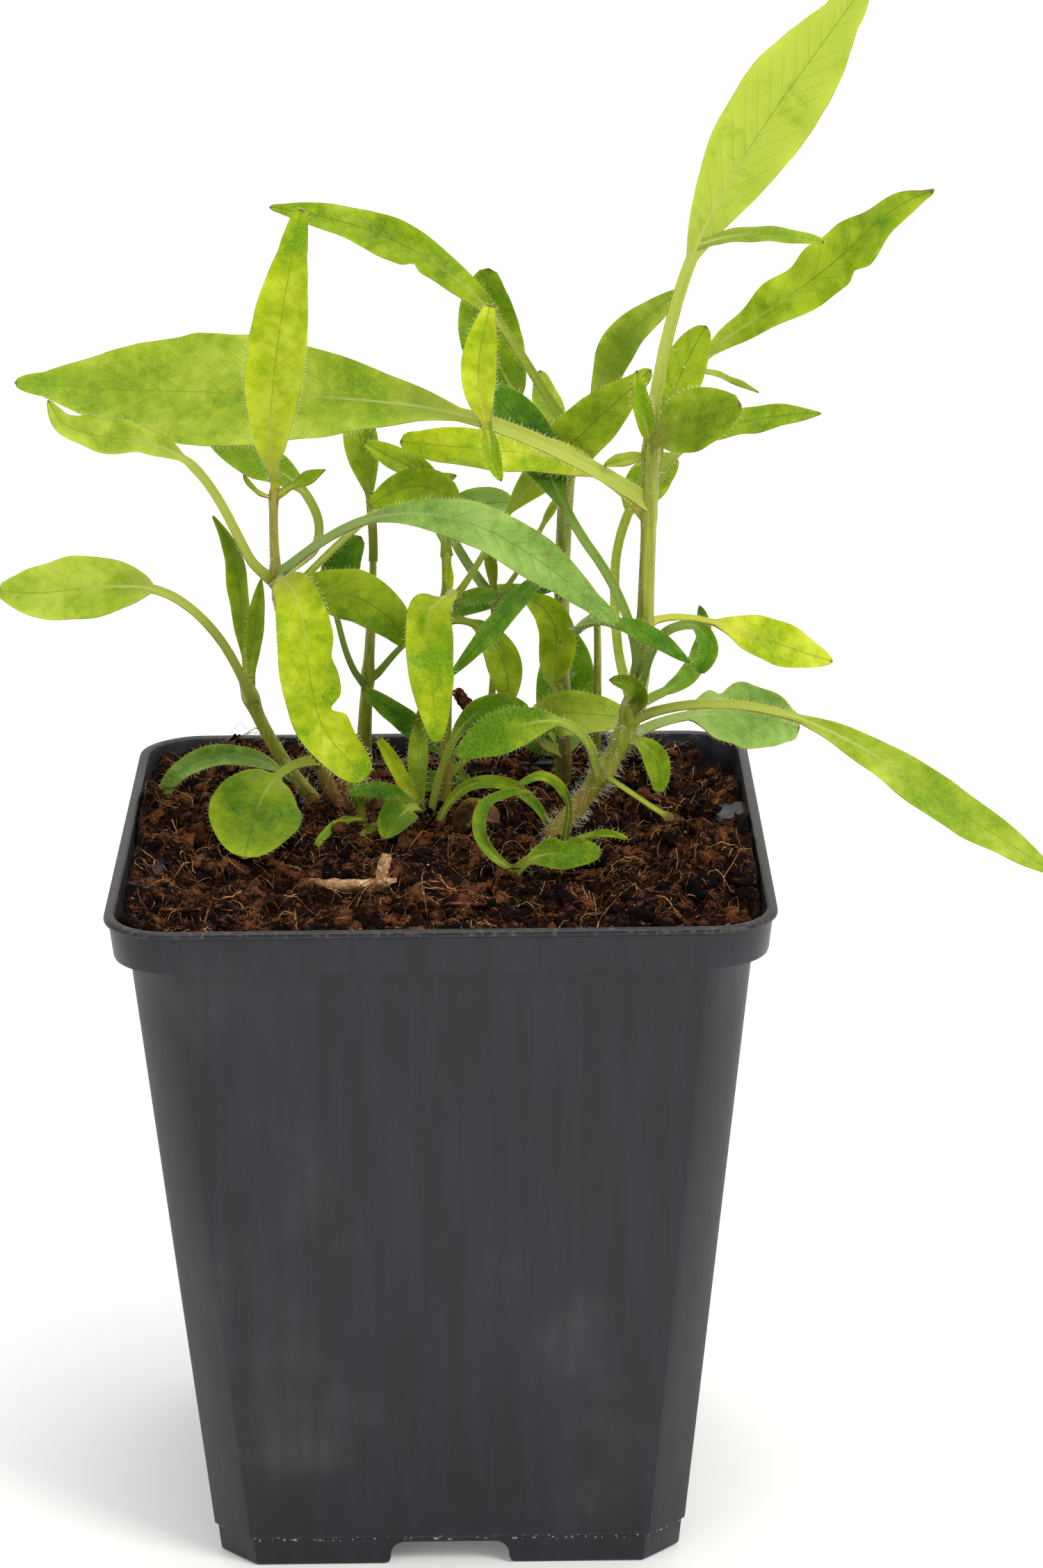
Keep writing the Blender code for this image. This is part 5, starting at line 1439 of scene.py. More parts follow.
    Leaf("second_left_leaf", "stem_left_red", 128, OVAL, PALE, lean=(42, 50, 80), forward=(0, -6, -8),
         stalk=18, blade=12, width=2.4, look=Look(stalk_share=0.8)),
    Leaf("bright_broad_leaf", "stem_left_red", 128, OVAL, MID, lean=(46, 74, 98, 130, 152),
         forward=(54, 26, 16, 8), stalk=3, blade=21, width=7.4, look=Look(tone=0.3, wave=0.4)),
    Leaf("front_left_leaf", "stem_left_red", 130.6, STRAP, YOUNG, lean=(-4, 90, 166, 174, 168, 140, 130),
         forward=(66, 70, 34, 20, 18, 10), stalk=6, blade=34, width=8.2, look=Look(wave=0.5, blunt=0.9,
         hairs=2.2, notches=((0.44, -1, 0.7, 4.0), (0.66, -1, 1.9, 2.4)), tone=-0.5)),
    Leaf("left_curled_leaf", "stem_left_red", 131.3, LANCE, PALE,
         lean=(-48, -20, -24, -34, -62, -84, -70, -10), forward=(24, 12, 6, 8), stalk=21, blade=23.5,
         width=4.8, look=Look(wave=0.8, cup=0.4)),
    Leaf("left_back_leaf", "stem_left_red", 131, LANCE, PALE, lean=(74, 56, -12, -40, -66, -68, -66),
         forward=(-50, -30, -12, -4), stalk=15, blade=17, width=5.5, look=Look(tone=-1.2)),
    Leaf("round_front_left_leaf", "stem_left_red", 103, OVAL, MID, lean=(-76, -125, -160, -165),
         forward=(44, 54, 60, 62), stalk=7.5, blade=16.5, width=13.2, look=Look(wave=0.15, blunt=0.3,
         tone=-0.1)),
    Leaf("far_left_leaf", "stem_left_green", 111, OVAL, PALE, lean=(-14, -26, -48, -88, -95, -78),
         forward=(28, 8, 6, 10), stalk=24, blade=22, width=9.4, look=Look(wave=0.35, tone=0.4)),
    Leaf("olive_upright_leaf", "stem_left_green", 110, LANCE, OLIVE, lean=(-20, -4, -6, -38),
         forward=(-62, -6, -8), stalk=4, blade=25, width=3.2, roll=-18, look=Look(cup=0.5)),
    Leaf("olive_small_leaf", "stem_left_green", 111, LANCE, OLIVE, node="stem_left_green", lean=(4, 6, 10),
         forward=(-28, -12, -6), stalk=1, blade=16, width=2.6),
    # Crown and young growth from the soil
    Leaf("crown_olive_leaf", "soil", (-3.4, 14), LANCE, OLIVE, node="crown_young_leaves", lean=(-4, 2, 4),
         forward=(-10, -62, -8), stalk=1, blade=16, width=3, look=Look(cup=0.6)),
    Leaf("crown_long_leaf", "crown_olive_leaf", 1.5, STRAP, YOUNG, node="crown_young_leaves",
         lean=(-28, -24, -32), forward=(4, 8, 8), stalk=1, blade=12, width=2.2, look=Look(cup=0.5)),
    Leaf("crown_flat_leaf", "crown_olive_leaf", 1.5, OVAL, DARK, node="crown_young_leaves",
         lean=(-38, -62, -110), forward=(32, 24, 22), stalk=1, blade=12, width=2.6),
    Leaf("crown_short_leaf", "crown_olive_leaf", 1, STRAP, OLIVE, node="crown_young_leaves",
         lean=(-78, -90, -94), forward=(42, 55, 62), stalk=1, blade=13, width=1.5),
    Leaf("crown_spoon_leaf", "crown_olive_leaf", 1.5, OVAL, MID, node="crown_young_leaves",
         lean=(-20, -90, -150), forward=(62, 70, 50), stalk=5.5, blade=9, width=5, look=Look(cup=0.8,
         tone=-0.6, hairs=0.4)),
    Leaf("dried_brown_leaf", "soil", (2.6, 7.2), STRAP, BROWN, lean=(20, 70, 120), forward=(30, 50, 60),
         stalk=1, blade=9, width=3.6, look=Look(wave=0.6, cup=0.7, hairs=0.0, red=0.0)),
    Leaf("spoon_leaf", "soil", (-1.6, 12.4), OVAL, MID, lean=(8, 16, 26, 60, 120), forward=(8, 12, 6),
         stalk=14, blade=12, width=3.2, roll=-15, look=Look(tone=-0.6, cup=0.4, stalk_share=0.85,
         hairs=0.4)),
    Leaf("strap_leaf", "soil", (-0.4, 9.6), STRAP, MID, lean=(20, 40, 76, 110, 136, 158),
         forward=(6, 12, 14), stalk=4, blade=17.5, width=1.9, look=Look(tone=-0.8, cup=0.5, hairs=0.3)),
    Leaf("seedling_loop", "soil", (13.0, -15.4), LANCE, MID, node="front_seedling_leaves",
         lean=(-80, -62, -34, 20, 84, 96), forward=(-10, -28, -6), stalk=3, blade=18.5, width=1.9, roll=-15,
         look=Look(cup=0.7, tone=-0.4, blunt=0.2, hairs=0.3)),
    Leaf("seedling_blade", "seedling_loop", 4, OVAL, MID, node="front_seedling_leaves", lean=(30, 82, 88),
         forward=(30, 14, 12), stalk=3, blade=10.5, width=4.6, look=Look(tone=-1.2, hairs=0.5,
         notches=((0.5, -1, 0.8, 1.6),))),
    Leaf("curl_strap_leaf", "soil", (17.2, -2.6), STRAP, MID, lean=(6, 4, -45, -135), forward=(22, 20, 20),
         stalk=8.5, blade=10, width=1.5, roll=-15, look=Look(tone=-0.9, hairs=0.2)),
    Leaf("low_right_stalk", "curl_strap_leaf", 1.5, STRAP, MID, node="curl_strap_leaf", lean=(58, 74, 112),
         forward=(6, 22, 28), stalk=1, blade=9, width=1.1),
    Leaf("back_left_strap_leaf", "soil", (-20, 27), STRAP, GREY, lean=(-34, -60, -76, -100, -128, -160),
         forward=(-4, 0, 16), stalk=8, blade=18, width=3.2, look=Look(cup=0.4, blunt=0.8)),
    Leaf("left_young_upper", "soil", (-11.5, 12), STRAP, OLIVE, node="left_young_leaves",
         lean=(-10, -24, -78), forward=(2, 6, 0), stalk=1, blade=11, width=1.6),
    Leaf("left_young_lower", "left_young_upper", 1, STRAP, MID, node="left_young_leaves",
         lean=(-64, -82, -114, -145), forward=(42, 60, 60, 50), stalk=1, blade=12.5, width=1.4,
         look=Look(tone=-0.4, hairs=0.3)),
    Leaf("withered_strand", "soil", (-13.4, 14.5), STRAP, BROWN, node="withered_strands", lean=(-14, -6, 8),
         forward=(0, 4, 8), stalk=1, blade=9, width=0.9, look=Look(hairs=0.0, red=0.0, tone=1.0)),
    Leaf("withered_strap", "withered_strand", 1, STRAP, BROWN, node="withered_strands", lean=(52, 70, 84),
         forward=(6, 10, 4), stalk=1, blade=7.4, width=1.9, look=Look(tone=0.3, wave=0.8, cup=0.5, red=0.0,
         hairs=0.0)),
    Leaf("low_dark_upright", "soil", (4, 28), OVAL, DARK, node="low_dark_leaves", lean=(-30, -48, -52),
         forward=(2, 6, 0), stalk=8.6, blade=14, width=3.5),
    Leaf("low_dark_flat", "low_dark_upright", 1.5, OVAL, DARK, node="low_dark_leaves", lean=(-50, -85, -95),
         forward=(38, 18, 4), stalk=2, blade=10, width=3),
)


@dataclass
class Seat:
    """Where a leaf starts, and the point inside its carrier that its base grows from."""

    start: Vector
    root: Vector
    from_soil: bool = False
    flare: float = 0.5


@dataclass(frozen=True)
class Ruffle:
    """How one leaf waves: where each margin's waves start, how long they are, and a shift for its noise."""

    phases: dict[int, float]
    spans: dict[int, float]
    shift: Vector

    SHORTEST = 7.0
    LONGEST = 12.0
    USUAL_BLADE = 30.0

    @classmethod
    def of(cls, leaf: Leaf, rng: random.Random) -> "Ruffle":
        """Draw the ruffle of a leaf; a longer blade has longer waves."""
        scale = max(min(leaf.blade / cls.USUAL_BLADE, 1.3), 0.5)
        phases = {side: rng.uniform(0, 2 * math.pi) for side in (-1, 1)}
        spans = {side: rng.uniform(cls.SHORTEST, cls.LONGEST) * scale for side in (-1, 1)}
        return cls(phases, spans, Vector([rng.uniform(0, 99) for _ in range(3)]))


@dataclass(frozen=True)
class LeafRow:
    """One row across a leaf: how far along it is, how much of it is stalk, its width and its directions."""

    along_mm: float
    part: float
    blade_part: float
    stalk: float
    width: float
    centre: Vector
    along: Vector
    normal: Vector
    side_way: Vector


@dataclass
class Plant:
    """The whole plant: its stems, then its leaves on them, with their hair."""

    axis: PotAxis
    soil: PottingSoil
    stem_rows: dict = field(default_factory=dict)
    grown: dict = field(default_factory=dict)

    VALUES = LEAF_VALUES + ("hair_share",)

    STEM_ROW = 0.5
    STEM_SIDES = 18
    STEM_RIBS = 6
    RIB_SHARE = 0.045
    UNEVEN_SHARE = 0.03
    NODE_SWELL = 0.16
    NODE_REACH = 1.3
    MOST_SWELL = 0.45
    FOOT_SWELL = 0.25
    FOOT_REACH = 2.0
    END_START = 0.985
    END_SPAN = 0.0155
    END_LEAST = 0.04

    ROW = 0.55
    HOLE_ROW = 0.22
    FEWEST_ROWS = 18
    FEWEST_COLUMNS = 3
    MOST_COLUMNS = 14
    VEIN_SPACING = 3.0
    VEIN_LEAN = 1.5
    VEIN_RELIEF = 0.05
    BLADE_THICKNESS = 0.3
    STALK_THICKNESS = 0.95
    RIB_HEIGHT = 0.42
    RIB_REACH = 0.45
    GROOVE_DEPTH = 0.2
    GROOVE_REACH = 0.4
    STALK_CUP = 0.5
    STALK_BLEND = 0.22
    STALK_LIKE_WIDTH = 2.4
    BUCKLE = 0.3
    BUCKLE_SCALE = 0.18
    WAVE_POWER = 2.2

    HAIR_WIDTH = 0.05
    HAIR_LENGTH = 0.9
    MARGIN_HAIR_LENGTH = 0.5
    HAIR_STRAY = 0.35
    HAIR_BEND = 0.2
    HAIR_DROOP = 0.1

    def foot(self, x: float, y: float) -> Vector:
        """Return the point just above the soil where a growth stands."""
        return Vector((x, y, self.soil.height(x, y) + ROOT_GAP))

    def rooted(self, foot: Vector, points: list[Vector]) -> list[Vector]:
        """Return the points with a short upright stretch at the foot."""
        return [foot] + [point + UP * ROOT_RISE for point in points]

    def hair(self, stock: MeshStock, rng: random.Random, root: Vector, out: Vector, length: float) -> None:
        """Add one hair to a stock, bent a little on its way out and drooping at its tip."""
        heading = (out + Vector([rng.gauss(0, self.HAIR_STRAY) for _ in range(3)])).normalized()
        bend = Vector([rng.gauss(0, self.HAIR_BEND) - drop for drop in (0.0, 0.0, self.HAIR_DROOP)]) * length
        centres = [root - heading * 0.1, root + heading * length * 0.5, root + heading * length + bend]
        stock.thread(centres, [self.HAIR_WIDTH * share for share in (1.0, 0.75, 0.3)], 3, slot=1)

    def build_stem(self, stem: Stem) -> None:
        """Build one stem as a ribbed round bar, swollen at its nodes, with its hair."""
        foot = self.foot(*stem.foot)
        points = self.rooted(foot, grow(foot, stem.length, stem.lean, stem.forward))
        last = len(points) - 1
        self.stem_rows[stem.name] = [
            (point, stem.thick + (stem.thin - stem.thick) * index / last) for index, point in enumerate(points)
        ]
        line = SmoothLine((foot - UP * 4.0, *points))
        nodes = [leaf.at for leaf in LEAVES if leaf.carrier == stem.name]
        stock = MeshStock(self.VALUES)
        rng = random.Random(stem.name)
        steps = round(stem.length / self.STEM_ROW)
        loops = []
        for step in range(steps + 1):
            place = step / steps * (last + 1)
            centre = line.at(place)
            along, across, other = line.frame(place)
            part = max(place - 1, 0.0) / last
            radius = (stem.thick + (stem.thin - stem.thick) * part) / 2
            radius = self.swollen(radius, nodes, centre.z, foot.z, part)
            loop = []
            for side, out in enumerate(turned(across, other, self.STEM_SIDES)):
                angle = 2 * math.pi * side / self.STEM_SIDES
                rib = 1.0 + self.RIB_SHARE * math.cos(self.STEM_RIBS * angle)
                rib += self.UNEVEN_SHARE * noise.noise(centre * 0.4 + across * side)
                loop.append(stock.point(centre + out * (radius * rib), along_share=part))
            loops.append(loop)
            for low, high, density in stem.hair:
                if low <= centre.z < high:
                    for _ in range(int(density * stem.length / steps + rng.random())):
                        angle = rng.uniform(0, 2 * math.pi)
                        out = across * math.cos(angle) + other * math.sin(angle)
                        length = self.HAIR_LENGTH * rng.uniform(0.7, 1.7)
                        self.hair(stock, rng, centre + out * radius, out + along * 0.25, length)
        stock.skin(loops)
        stock.piece(f"{stem.name}_looks", self.axis, (stem.skin, HAIR), stem.name)

    def swollen(self, radius: float, nodes: list[float], height: float, foot: float, part: float) -> float:
        """Return a stem's radius with the swelling at its nodes and foot, and its rounded end.

        Args:
            radius: The radius without them.
            nodes: The heights that leaves grow from.
            height: The height on the stem.
            foot: The height of its foot.
            part: How far along the stem that is, from 0 to 1.
        """
        swell = sum(self.NODE_SWELL * math.exp(-(((height - node) / self.NODE_REACH) ** 2)) for node in nodes)
        foot_swell = self.FOOT_SWELL * math.exp(-max(height - foot, 0.0) / self.FOOT_REACH)
        radius *= 1.0 + min(swell, self.MOST_SWELL) + foot_swell
        return radius * math.sqrt(max(1.0 - max(part - self.END_START, 0.0) / self.END_SPAN, self.END_LEAST))

    def spot_on_stem(
        self, rows: list[tuple[Vector, float]], height: float
    ) -> tuple[Vector, float, Vector, bool]:
        """Return the point, width and direction of a stem at a height, and whether that is past its end."""
        for (low, low_width), (high, high_width) in zip(rows, rows[1:]):
            if low.z <= height <= high.z:
                part = (height - low.z) / (high.z - low.z)
                width = low_width + (high_width - low_width) * part
                return low + (high - low) * part, width, (high - low).normalized(), False
        (low, _), (high, width) = rows[-2:]
        return high, width, (high - low).normalized(), True

    def seat(self, leaf: Leaf) -> Seat:
        """Return where a leaf starts and where its base grows from."""
        away = direction(leaf.lean[0], leaf.forward[0])
        if leaf.carrier == "soil":
            foot = self.foot(*leaf.at)
            return Seat(foot, foot - UP * 3.0, from_soil=True)
        if leaf.carrier not in self.stem_rows:
            start = self.point_along(self.grown[leaf.carrier], leaf.at)
            return Seat(start, start - away * 0.3)
        point, width, along, past_end = self.spot_on_stem(self.stem_rows[leaf.carrier], leaf.at)
        if leaf.home_node() == leaf.carrier:
            if past_end:
                point = point - along * GROWN_IN
            start = point + away * width * 0.1
            return Seat(start, start - away * 0.3)
        if past_end:
            start = point + along * (SEAT_GAP + leaf.width * SHEATH_SHARE)
            return Seat(start, point - along * 1.0, flare=max(width - STALK_WIDTH, 0.0))
        across = (away - along * away.dot(along)).normalized()
        return Seat(point + across * (width / 2 + SEAT_GAP), point + across * width * 0.1 - along * 0.9)

    def point_along(self, points: list[Vector], distance: float) -> Vector:
        """Return the point at a distance along a line of points."""
        for low, high in zip(points, points[1:]):
            step = (high - low).length
            if distance <= step:
                return low + (high - low) * (distance / step)
            distance -= step
        return points[-1]

    def facing(self, leaf: Leaf, points: list[Vector], from_soil: bool) -> list[Vector]:
        """Return the direction that a leaf's upper face looks in at each of its points."""
        roll = math.radians(leaf.roll)
        upper = Vector((math.sin(roll), -math.cos(roll), UPPER_FACE_RISE)).normalized()
        normal = upper
        normals = []
        last = len(points) - 1
        for index in range(len(points)):
            along = (points[min(index + 1, last)] - points[max(index - 1, 0)]).normalized()
            if from_soil and index == 0:
                along = UP
            wanted = upper + normal * TWIST_CARRY
            normal = (wanted - along * wanted.dot(along)).normalized()
            normals.append(normal)
        return normals

    def thickness(self, leaf: Leaf, row: LeafRow, u: float, x: float) -> float:
        """Return a leaf's thickness at a share u, or x millimetres, across a row."""
        stalk_thick = self.STALK_THICKNESS * min(leaf.width / 3.0, 1.0) * math.sqrt(1.0 - 0.85 * u * u)
        rib = self.RIB_HEIGHT * math.exp(-((x / self.RIB_REACH) ** 2)) * max(1.0 - row.part, 0.0) ** 0.8
        blade_thick = self.BLADE_THICKNESS * (1.0 - 0.55 * u**4) + rib * min(leaf.width / 6.0, 1.0)
        return blade_thick + (stalk_thick - blade_thick) * row.stalk

    def lift(self, look: Look, ruffle: Ruffle, row: LeafRow, u: float, half: float, turns: float) -> float:
        """Return how far a leaf rises off its midrib's plane at a place across a row.

        Args:
            look: The leaf's look.
            ruffle: How it waves.
            row: The row.
            u: The share of the half width, from -1 to 1.
            half: The half width there.
            turns: How many side veins lie between the place and the leaf's base.
        """
        side = 1 if u >= 0 else -1
        x = u * half
        blade = 1.0 - row.stalk
        wave = math.sin(2 * math.pi * row.along_mm / ruffle.spans[side] + ruffle.phases[side])
        rise = math.sin(math.pi * min(row.blade_part, 1.0)) ** 0.5 if 0.0 < row.blade_part < 1.0 else 0.0
        scale = self.BUCKLE_SCALE
        buckle = noise.noise(row.centre * scale + row.side_way * x * scale + ruffle.shift)
        lift = (look.cup * blade + self.STALK_CUP * row.stalk) * row.width / 2 * u * u
        lift += look.wave * abs(u) ** self.WAVE_POWER * wave * rise
        lift += self.BUCKLE * look.wave * buckle * blade
        swelling = self.VEIN_RELIEF * math.cos(2 * math.pi * turns) * (1.0 - u * u)
        lift += swelling * min(half, 3.0) / 3.0 * blade
        groove = self.GROOVE_DEPTH * math.exp(-((x / self.GROOVE_REACH) ** 2)) * (1.0 - row.part)
        return lift - groove * blade * min(half / 2, 1.0)

    def row(
        self, leaf: Leaf, seat: Seat, line: SmoothLine, normals: list[Vector], share: float, shift: Vector
    ) -> LeafRow:
        """Return the row across a leaf at a share of its line.

        Args:
            leaf: The leaf.
            seat: Where it starts.
            line: The line of its midrib, from inside its carrier.
            normals: The direction its upper face looks in at each point of the line.
            share: How far along the line the row is, from 0 to 1.
            shift: The shift of the noise that makes its width uneven.
        """
        length = leaf.stalk + leaf.blade
        last = len(line.points) - 2
        place = share * (last + 1)
        along_mm = length * (place - 1) / last if place >= 1 else place - 1
        past = max(along_mm, 0.0)
        centre = line.at(place)
        along = line.heading(place)
        index = min(int(place), len(normals) - 2)
        normal = normals[index].lerp(normals[index + 1], place - index)
        normal = (normal - along * normal.dot(along)).normalized()
        normal = Matrix.Rotation(math.radians(blend(leaf.look.twist, past / length)), 3, along) @ normal
        blade_part = max(along_mm - leaf.stalk, 0.0) / leaf.blade
        stalk = 0.3 * (1.0 - blade_part)
        if leaf.width > self.STALK_LIKE_WIDTH:
            stalk = 1.0 - min(blade_part / self.STALK_BLEND, 1.0)
        flare = seat.flare * min(leaf.width / 5, 1) * math.exp(-past / self.FOOT_REACH)
        width = leaf.width_at(along_mm) + flare
        width *= 1.0 + 0.05 * noise.noise(centre * 0.35 + shift) * blade_part
        return LeafRow(
            along_mm, past / length, blade_part, stalk, width, centre, along, normal, along.cross(normal)
        )

    def build_leaf(self, leaf: Leaf) -> None:
        """Build one leaf with its veins, ruffles and hair."""
        seat = self.seat(leaf)
        length = leaf.stalk + leaf.blade
        points = grow(seat.start, length, leaf.lean, leaf.forward)
        if seat.from_soil:
            points = self.rooted(seat.start, points)
        self.grown[leaf.name] = points
        normals = self.facing(leaf, points, seat.from_soil)
        line = SmoothLine((seat.root, *points))
        normals = [normals[0]] + normals
        look = leaf.look
        rng = random.Random(leaf.name)
        ruffle = Ruffle.of(leaf, rng)
        fine = self.HOLE_ROW if look.holes else self.ROW
        half_columns = min(max(round(leaf.width / 2 / fine), self.FEWEST_COLUMNS), self.MOST_COLUMNS)
        rows = max(round(length / fine), self.FEWEST_ROWS)
        stock = MeshStock(self.VALUES)
        top, bottom, kept, margins = [], [], [], []
        for number in range(rows + 1):
            row = self.row(leaf, seat, line, normals, number / rows, ruffle.shift)
            for grid in (top, bottom, kept):
                grid.append([])
            for column in range(2 * half_columns + 1):
                u = column / half_columns - 1.0
                side = 1 if u >= 0 else -1
                half = max(row.width / 2 - leaf.notch_at(row.along_mm, side), 0.05)
                x = u * half
                turns = (row.along_mm - self.VEIN_LEAN * abs(x)) / self.VEIN_SPACING
                lift = row.normal * self.lift(look, ruffle, row, u, half, turns)
                spot = row.centre + row.side_way * x + lift
                across = row.normal * (self.thickness(leaf, row, u, x) / 2)
                values = {
                    "rib_mm": abs(x),
                    "edge_mm": half - abs(x),
                    "vein_turns": turns,
                    "stalk_share": row.stalk,
                    "along_share": row.blade_part,
                    "brown": max(1.0 - (length - row.along_mm) / look.brown_tip, 0.0),
                    "tone": look.tone,
                    "red_margin": look.red,
                }
                top[-1].append(stock.point(spot + across, **values))
                bottom[-1].append(stock.point(spot - across, underside=1.0, **values))
                kept[-1].append(not any(
                    math.hypot((row.blade_part - hole_part) * leaf.blade, (u - hole_u) * half) < radius
                    for hole_part, hole_u, radius in look.holes
                ))
                if abs(u) == 1.0 and row.along_mm > 0.5:
                    margins.append((spot, row.side_way * side + row.along * 0.35))
        self.close_blade(stock, top, bottom, kept)
        for spot, out in margins:
            for _ in range(int(look.hairs * 2.0 * (length / rows) + rng.random())):
                self.hair(stock, rng, spot, out, self.MARGIN_HAIR_LENGTH * rng.uniform(0.6, 1.3))
        name = f"{leaf.name}_looks" if leaf.name == leaf.home_node() else leaf.name
        finishes = (LEAF_BLADES[leaf.tint], HAIR)
        stock.piece(name, self.axis, finishes, leaf.home_node(), sharp=60.0)

    def close_blade(
        self, stock: MeshStock, top: list[list[int]], bottom: list[list[int]], kept: list[list[bool]]
    ) -> None:
        """Skin both faces of a blade and wall every open edge, the margins' and the holes'.

        Args:
            stock: The stock it goes to.
            top: The points of the upper face in rows.
            bottom: The points of the lower face in rows.
            kept: Whether the blade is whole at each of them.
        """
        rows = len(top) - 1
        columns = len(top[0]) - 1

        def whole(row: int, column: int) -> bool:
            """Return whether a cell lies in the blade, clear of its holes."""
            if not (0 <= row < rows and 0 <= column < columns):
                return False
            return all(kept[row + down][column + right] for down in (0, 1) for right in (0, 1))

        for row in range(rows):
            for column in range(columns):
                if not whole(row, column):
                    continue
                cell = ((row, column), (row, column + 1), (row + 1, column + 1), (row + 1, column))
                stock.face(tuple(bottom[r][c] for r, c in cell))
                stock.face(tuple(top[r][c] for r, c in reversed(cell)))
                beside = ((row - 1, column), (row, column + 1), (row + 1, column), (row, column - 1))
                for number, (r, c) in enumerate(beside):
                    if not whole(r, c):
                        (r0, c0), (r1, c1) = cell[number], cell[(number + 1) % 4]
                        stock.face((bottom[r1][c1], bottom[r0][c0], top[r0][c0], top[r1][c1]))

    def build(self) -> None:
        """Build every stem and leaf."""
        for stem in STEMS:
            self.build_stem(stem)
        for leaf in LEAVES:
            self.build_leaf(leaf)


# ---------------------------------------------------------------- bark


@dataclass
class BarkChip:
    """A split chip of bark bent on the soil, with a splinter that stands up from its end."""

    axis: PotAxis
    soil: PottingSoil
    start: tuple[float, float] = (-18.5, -17.0)
    length: float = 14.0
    heading: float = -28.0
    bend: float = 55.0
    width: float = 2.8
    thickness: float = 1.5
    lift: float = 1.8
    splinter_length: float = 4.5
    splinter_width: float = 1.6
    splinter_lean: tuple[float, float] = (14.0, -16.0)
    # Loose slivers of dark wood: (place, tilt as lean and forward, length, width) of each
    slivers: tuple[tuple[Vector, tuple[float, float], float, float], ...] = (
        (Vector((5.0, 20.0, 108.5)), (-38.0, 0.0), 5.0, 2.0),
        (Vector((-38.0, -28.0, 96.0)), (82.0, 20.0), 6.0, 0.9),
        (Vector((-33.0, 6.0, 96.2)), (70.0, -30.0), 7.0, 1.0),
        (Vector((29.0, -6.0, 97.2)), (75.0, 35.0), 5.0, 0.8),
        (Vector((6.0, -26.0, 95.6)), (-78.0, 25.0), 6.0, 0.7),
    )

    BAR_ROWS = 36
    BAR_SIDES = 10

    def bar(
        self, stock: MeshStock, centres: list[Vector], width: float, thickness: float, seed: float
    ) -> None:
        """Add a ragged flat bar along some points, frayed at both ends."""
        line = SmoothLine(tuple(centres))
        rows = self.BAR_ROWS
        last = len(centres) - 1
        loops = []
        for row in range(rows + 1):
            place = row / rows * last
            along = line.heading(place)
            side = along.cross(Vector((0.1, 1.0, 1.0))).normalized()
            up = side.cross(along).normalized()
            part = row / rows
            taper = 0.55 + 0.45 * math.sin(math.pi * min(max(part, 0.04), 0.96)) ** 0.35
            loop = []
            for step in range(self.BAR_SIDES):
                angle = 2 * math.pi * step / self.BAR_SIDES
                ragged = 1.0 + 0.35 * noise.noise(Vector((step * 1.7, row * 0.25, seed)))
                a = math.copysign(abs(math.cos(angle)) ** 0.6, math.cos(angle)) * width / 2
                b = math.copysign(abs(math.sin(angle)) ** 0.6, math.sin(angle)) * thickness / 2
                loop.append(stock.point(line.at(place) + (side * a + up * b) * taper * ragged))
            loops.append(loop)
        stock.skin(loops)

    def build(self) -> None:
        """Build the chip and its splinter."""
        stock = MeshStock()
        x, y = self.start
        steps = 4
        centres = []
        for step in range(steps + 1):
            centres.append(Vector((x, y, self.soil.height(x, y) + self.lift)))
            heading = math.radians(self.heading + self.bend * step / steps)
            x += self.length / steps * math.cos(heading)
            y += self.length / steps * math.sin(heading)
        self.bar(stock, centres, self.width, self.thickness, 3.0)
        way = direction(*self.splinter_lean)
        upright = [centres[-2] + way * (self.splinter_length * part) for part in (0.0, 0.5, 1.0)]
        self.bar(stock, upright, self.splinter_width, self.thickness, 8.0)
        stock.piece("bark_chip_looks", self.axis, (BARK,), "bark_chip", sharp=70.0)
        stock = MeshStock()
        for number, (place, tilt, length, width) in enumerate(self.slivers):
            way = direction(*tilt)
            centres = [place + way * (length * part) for part in (0.0, 0.5, 1.0)]
            self.bar(stock, centres, width, width * 0.6, 20.0 + number)
        stock.piece("wood_slivers", self.axis, (WOOD,), "", sharp=70.0)


# ---------------------------------------------------------------- studio


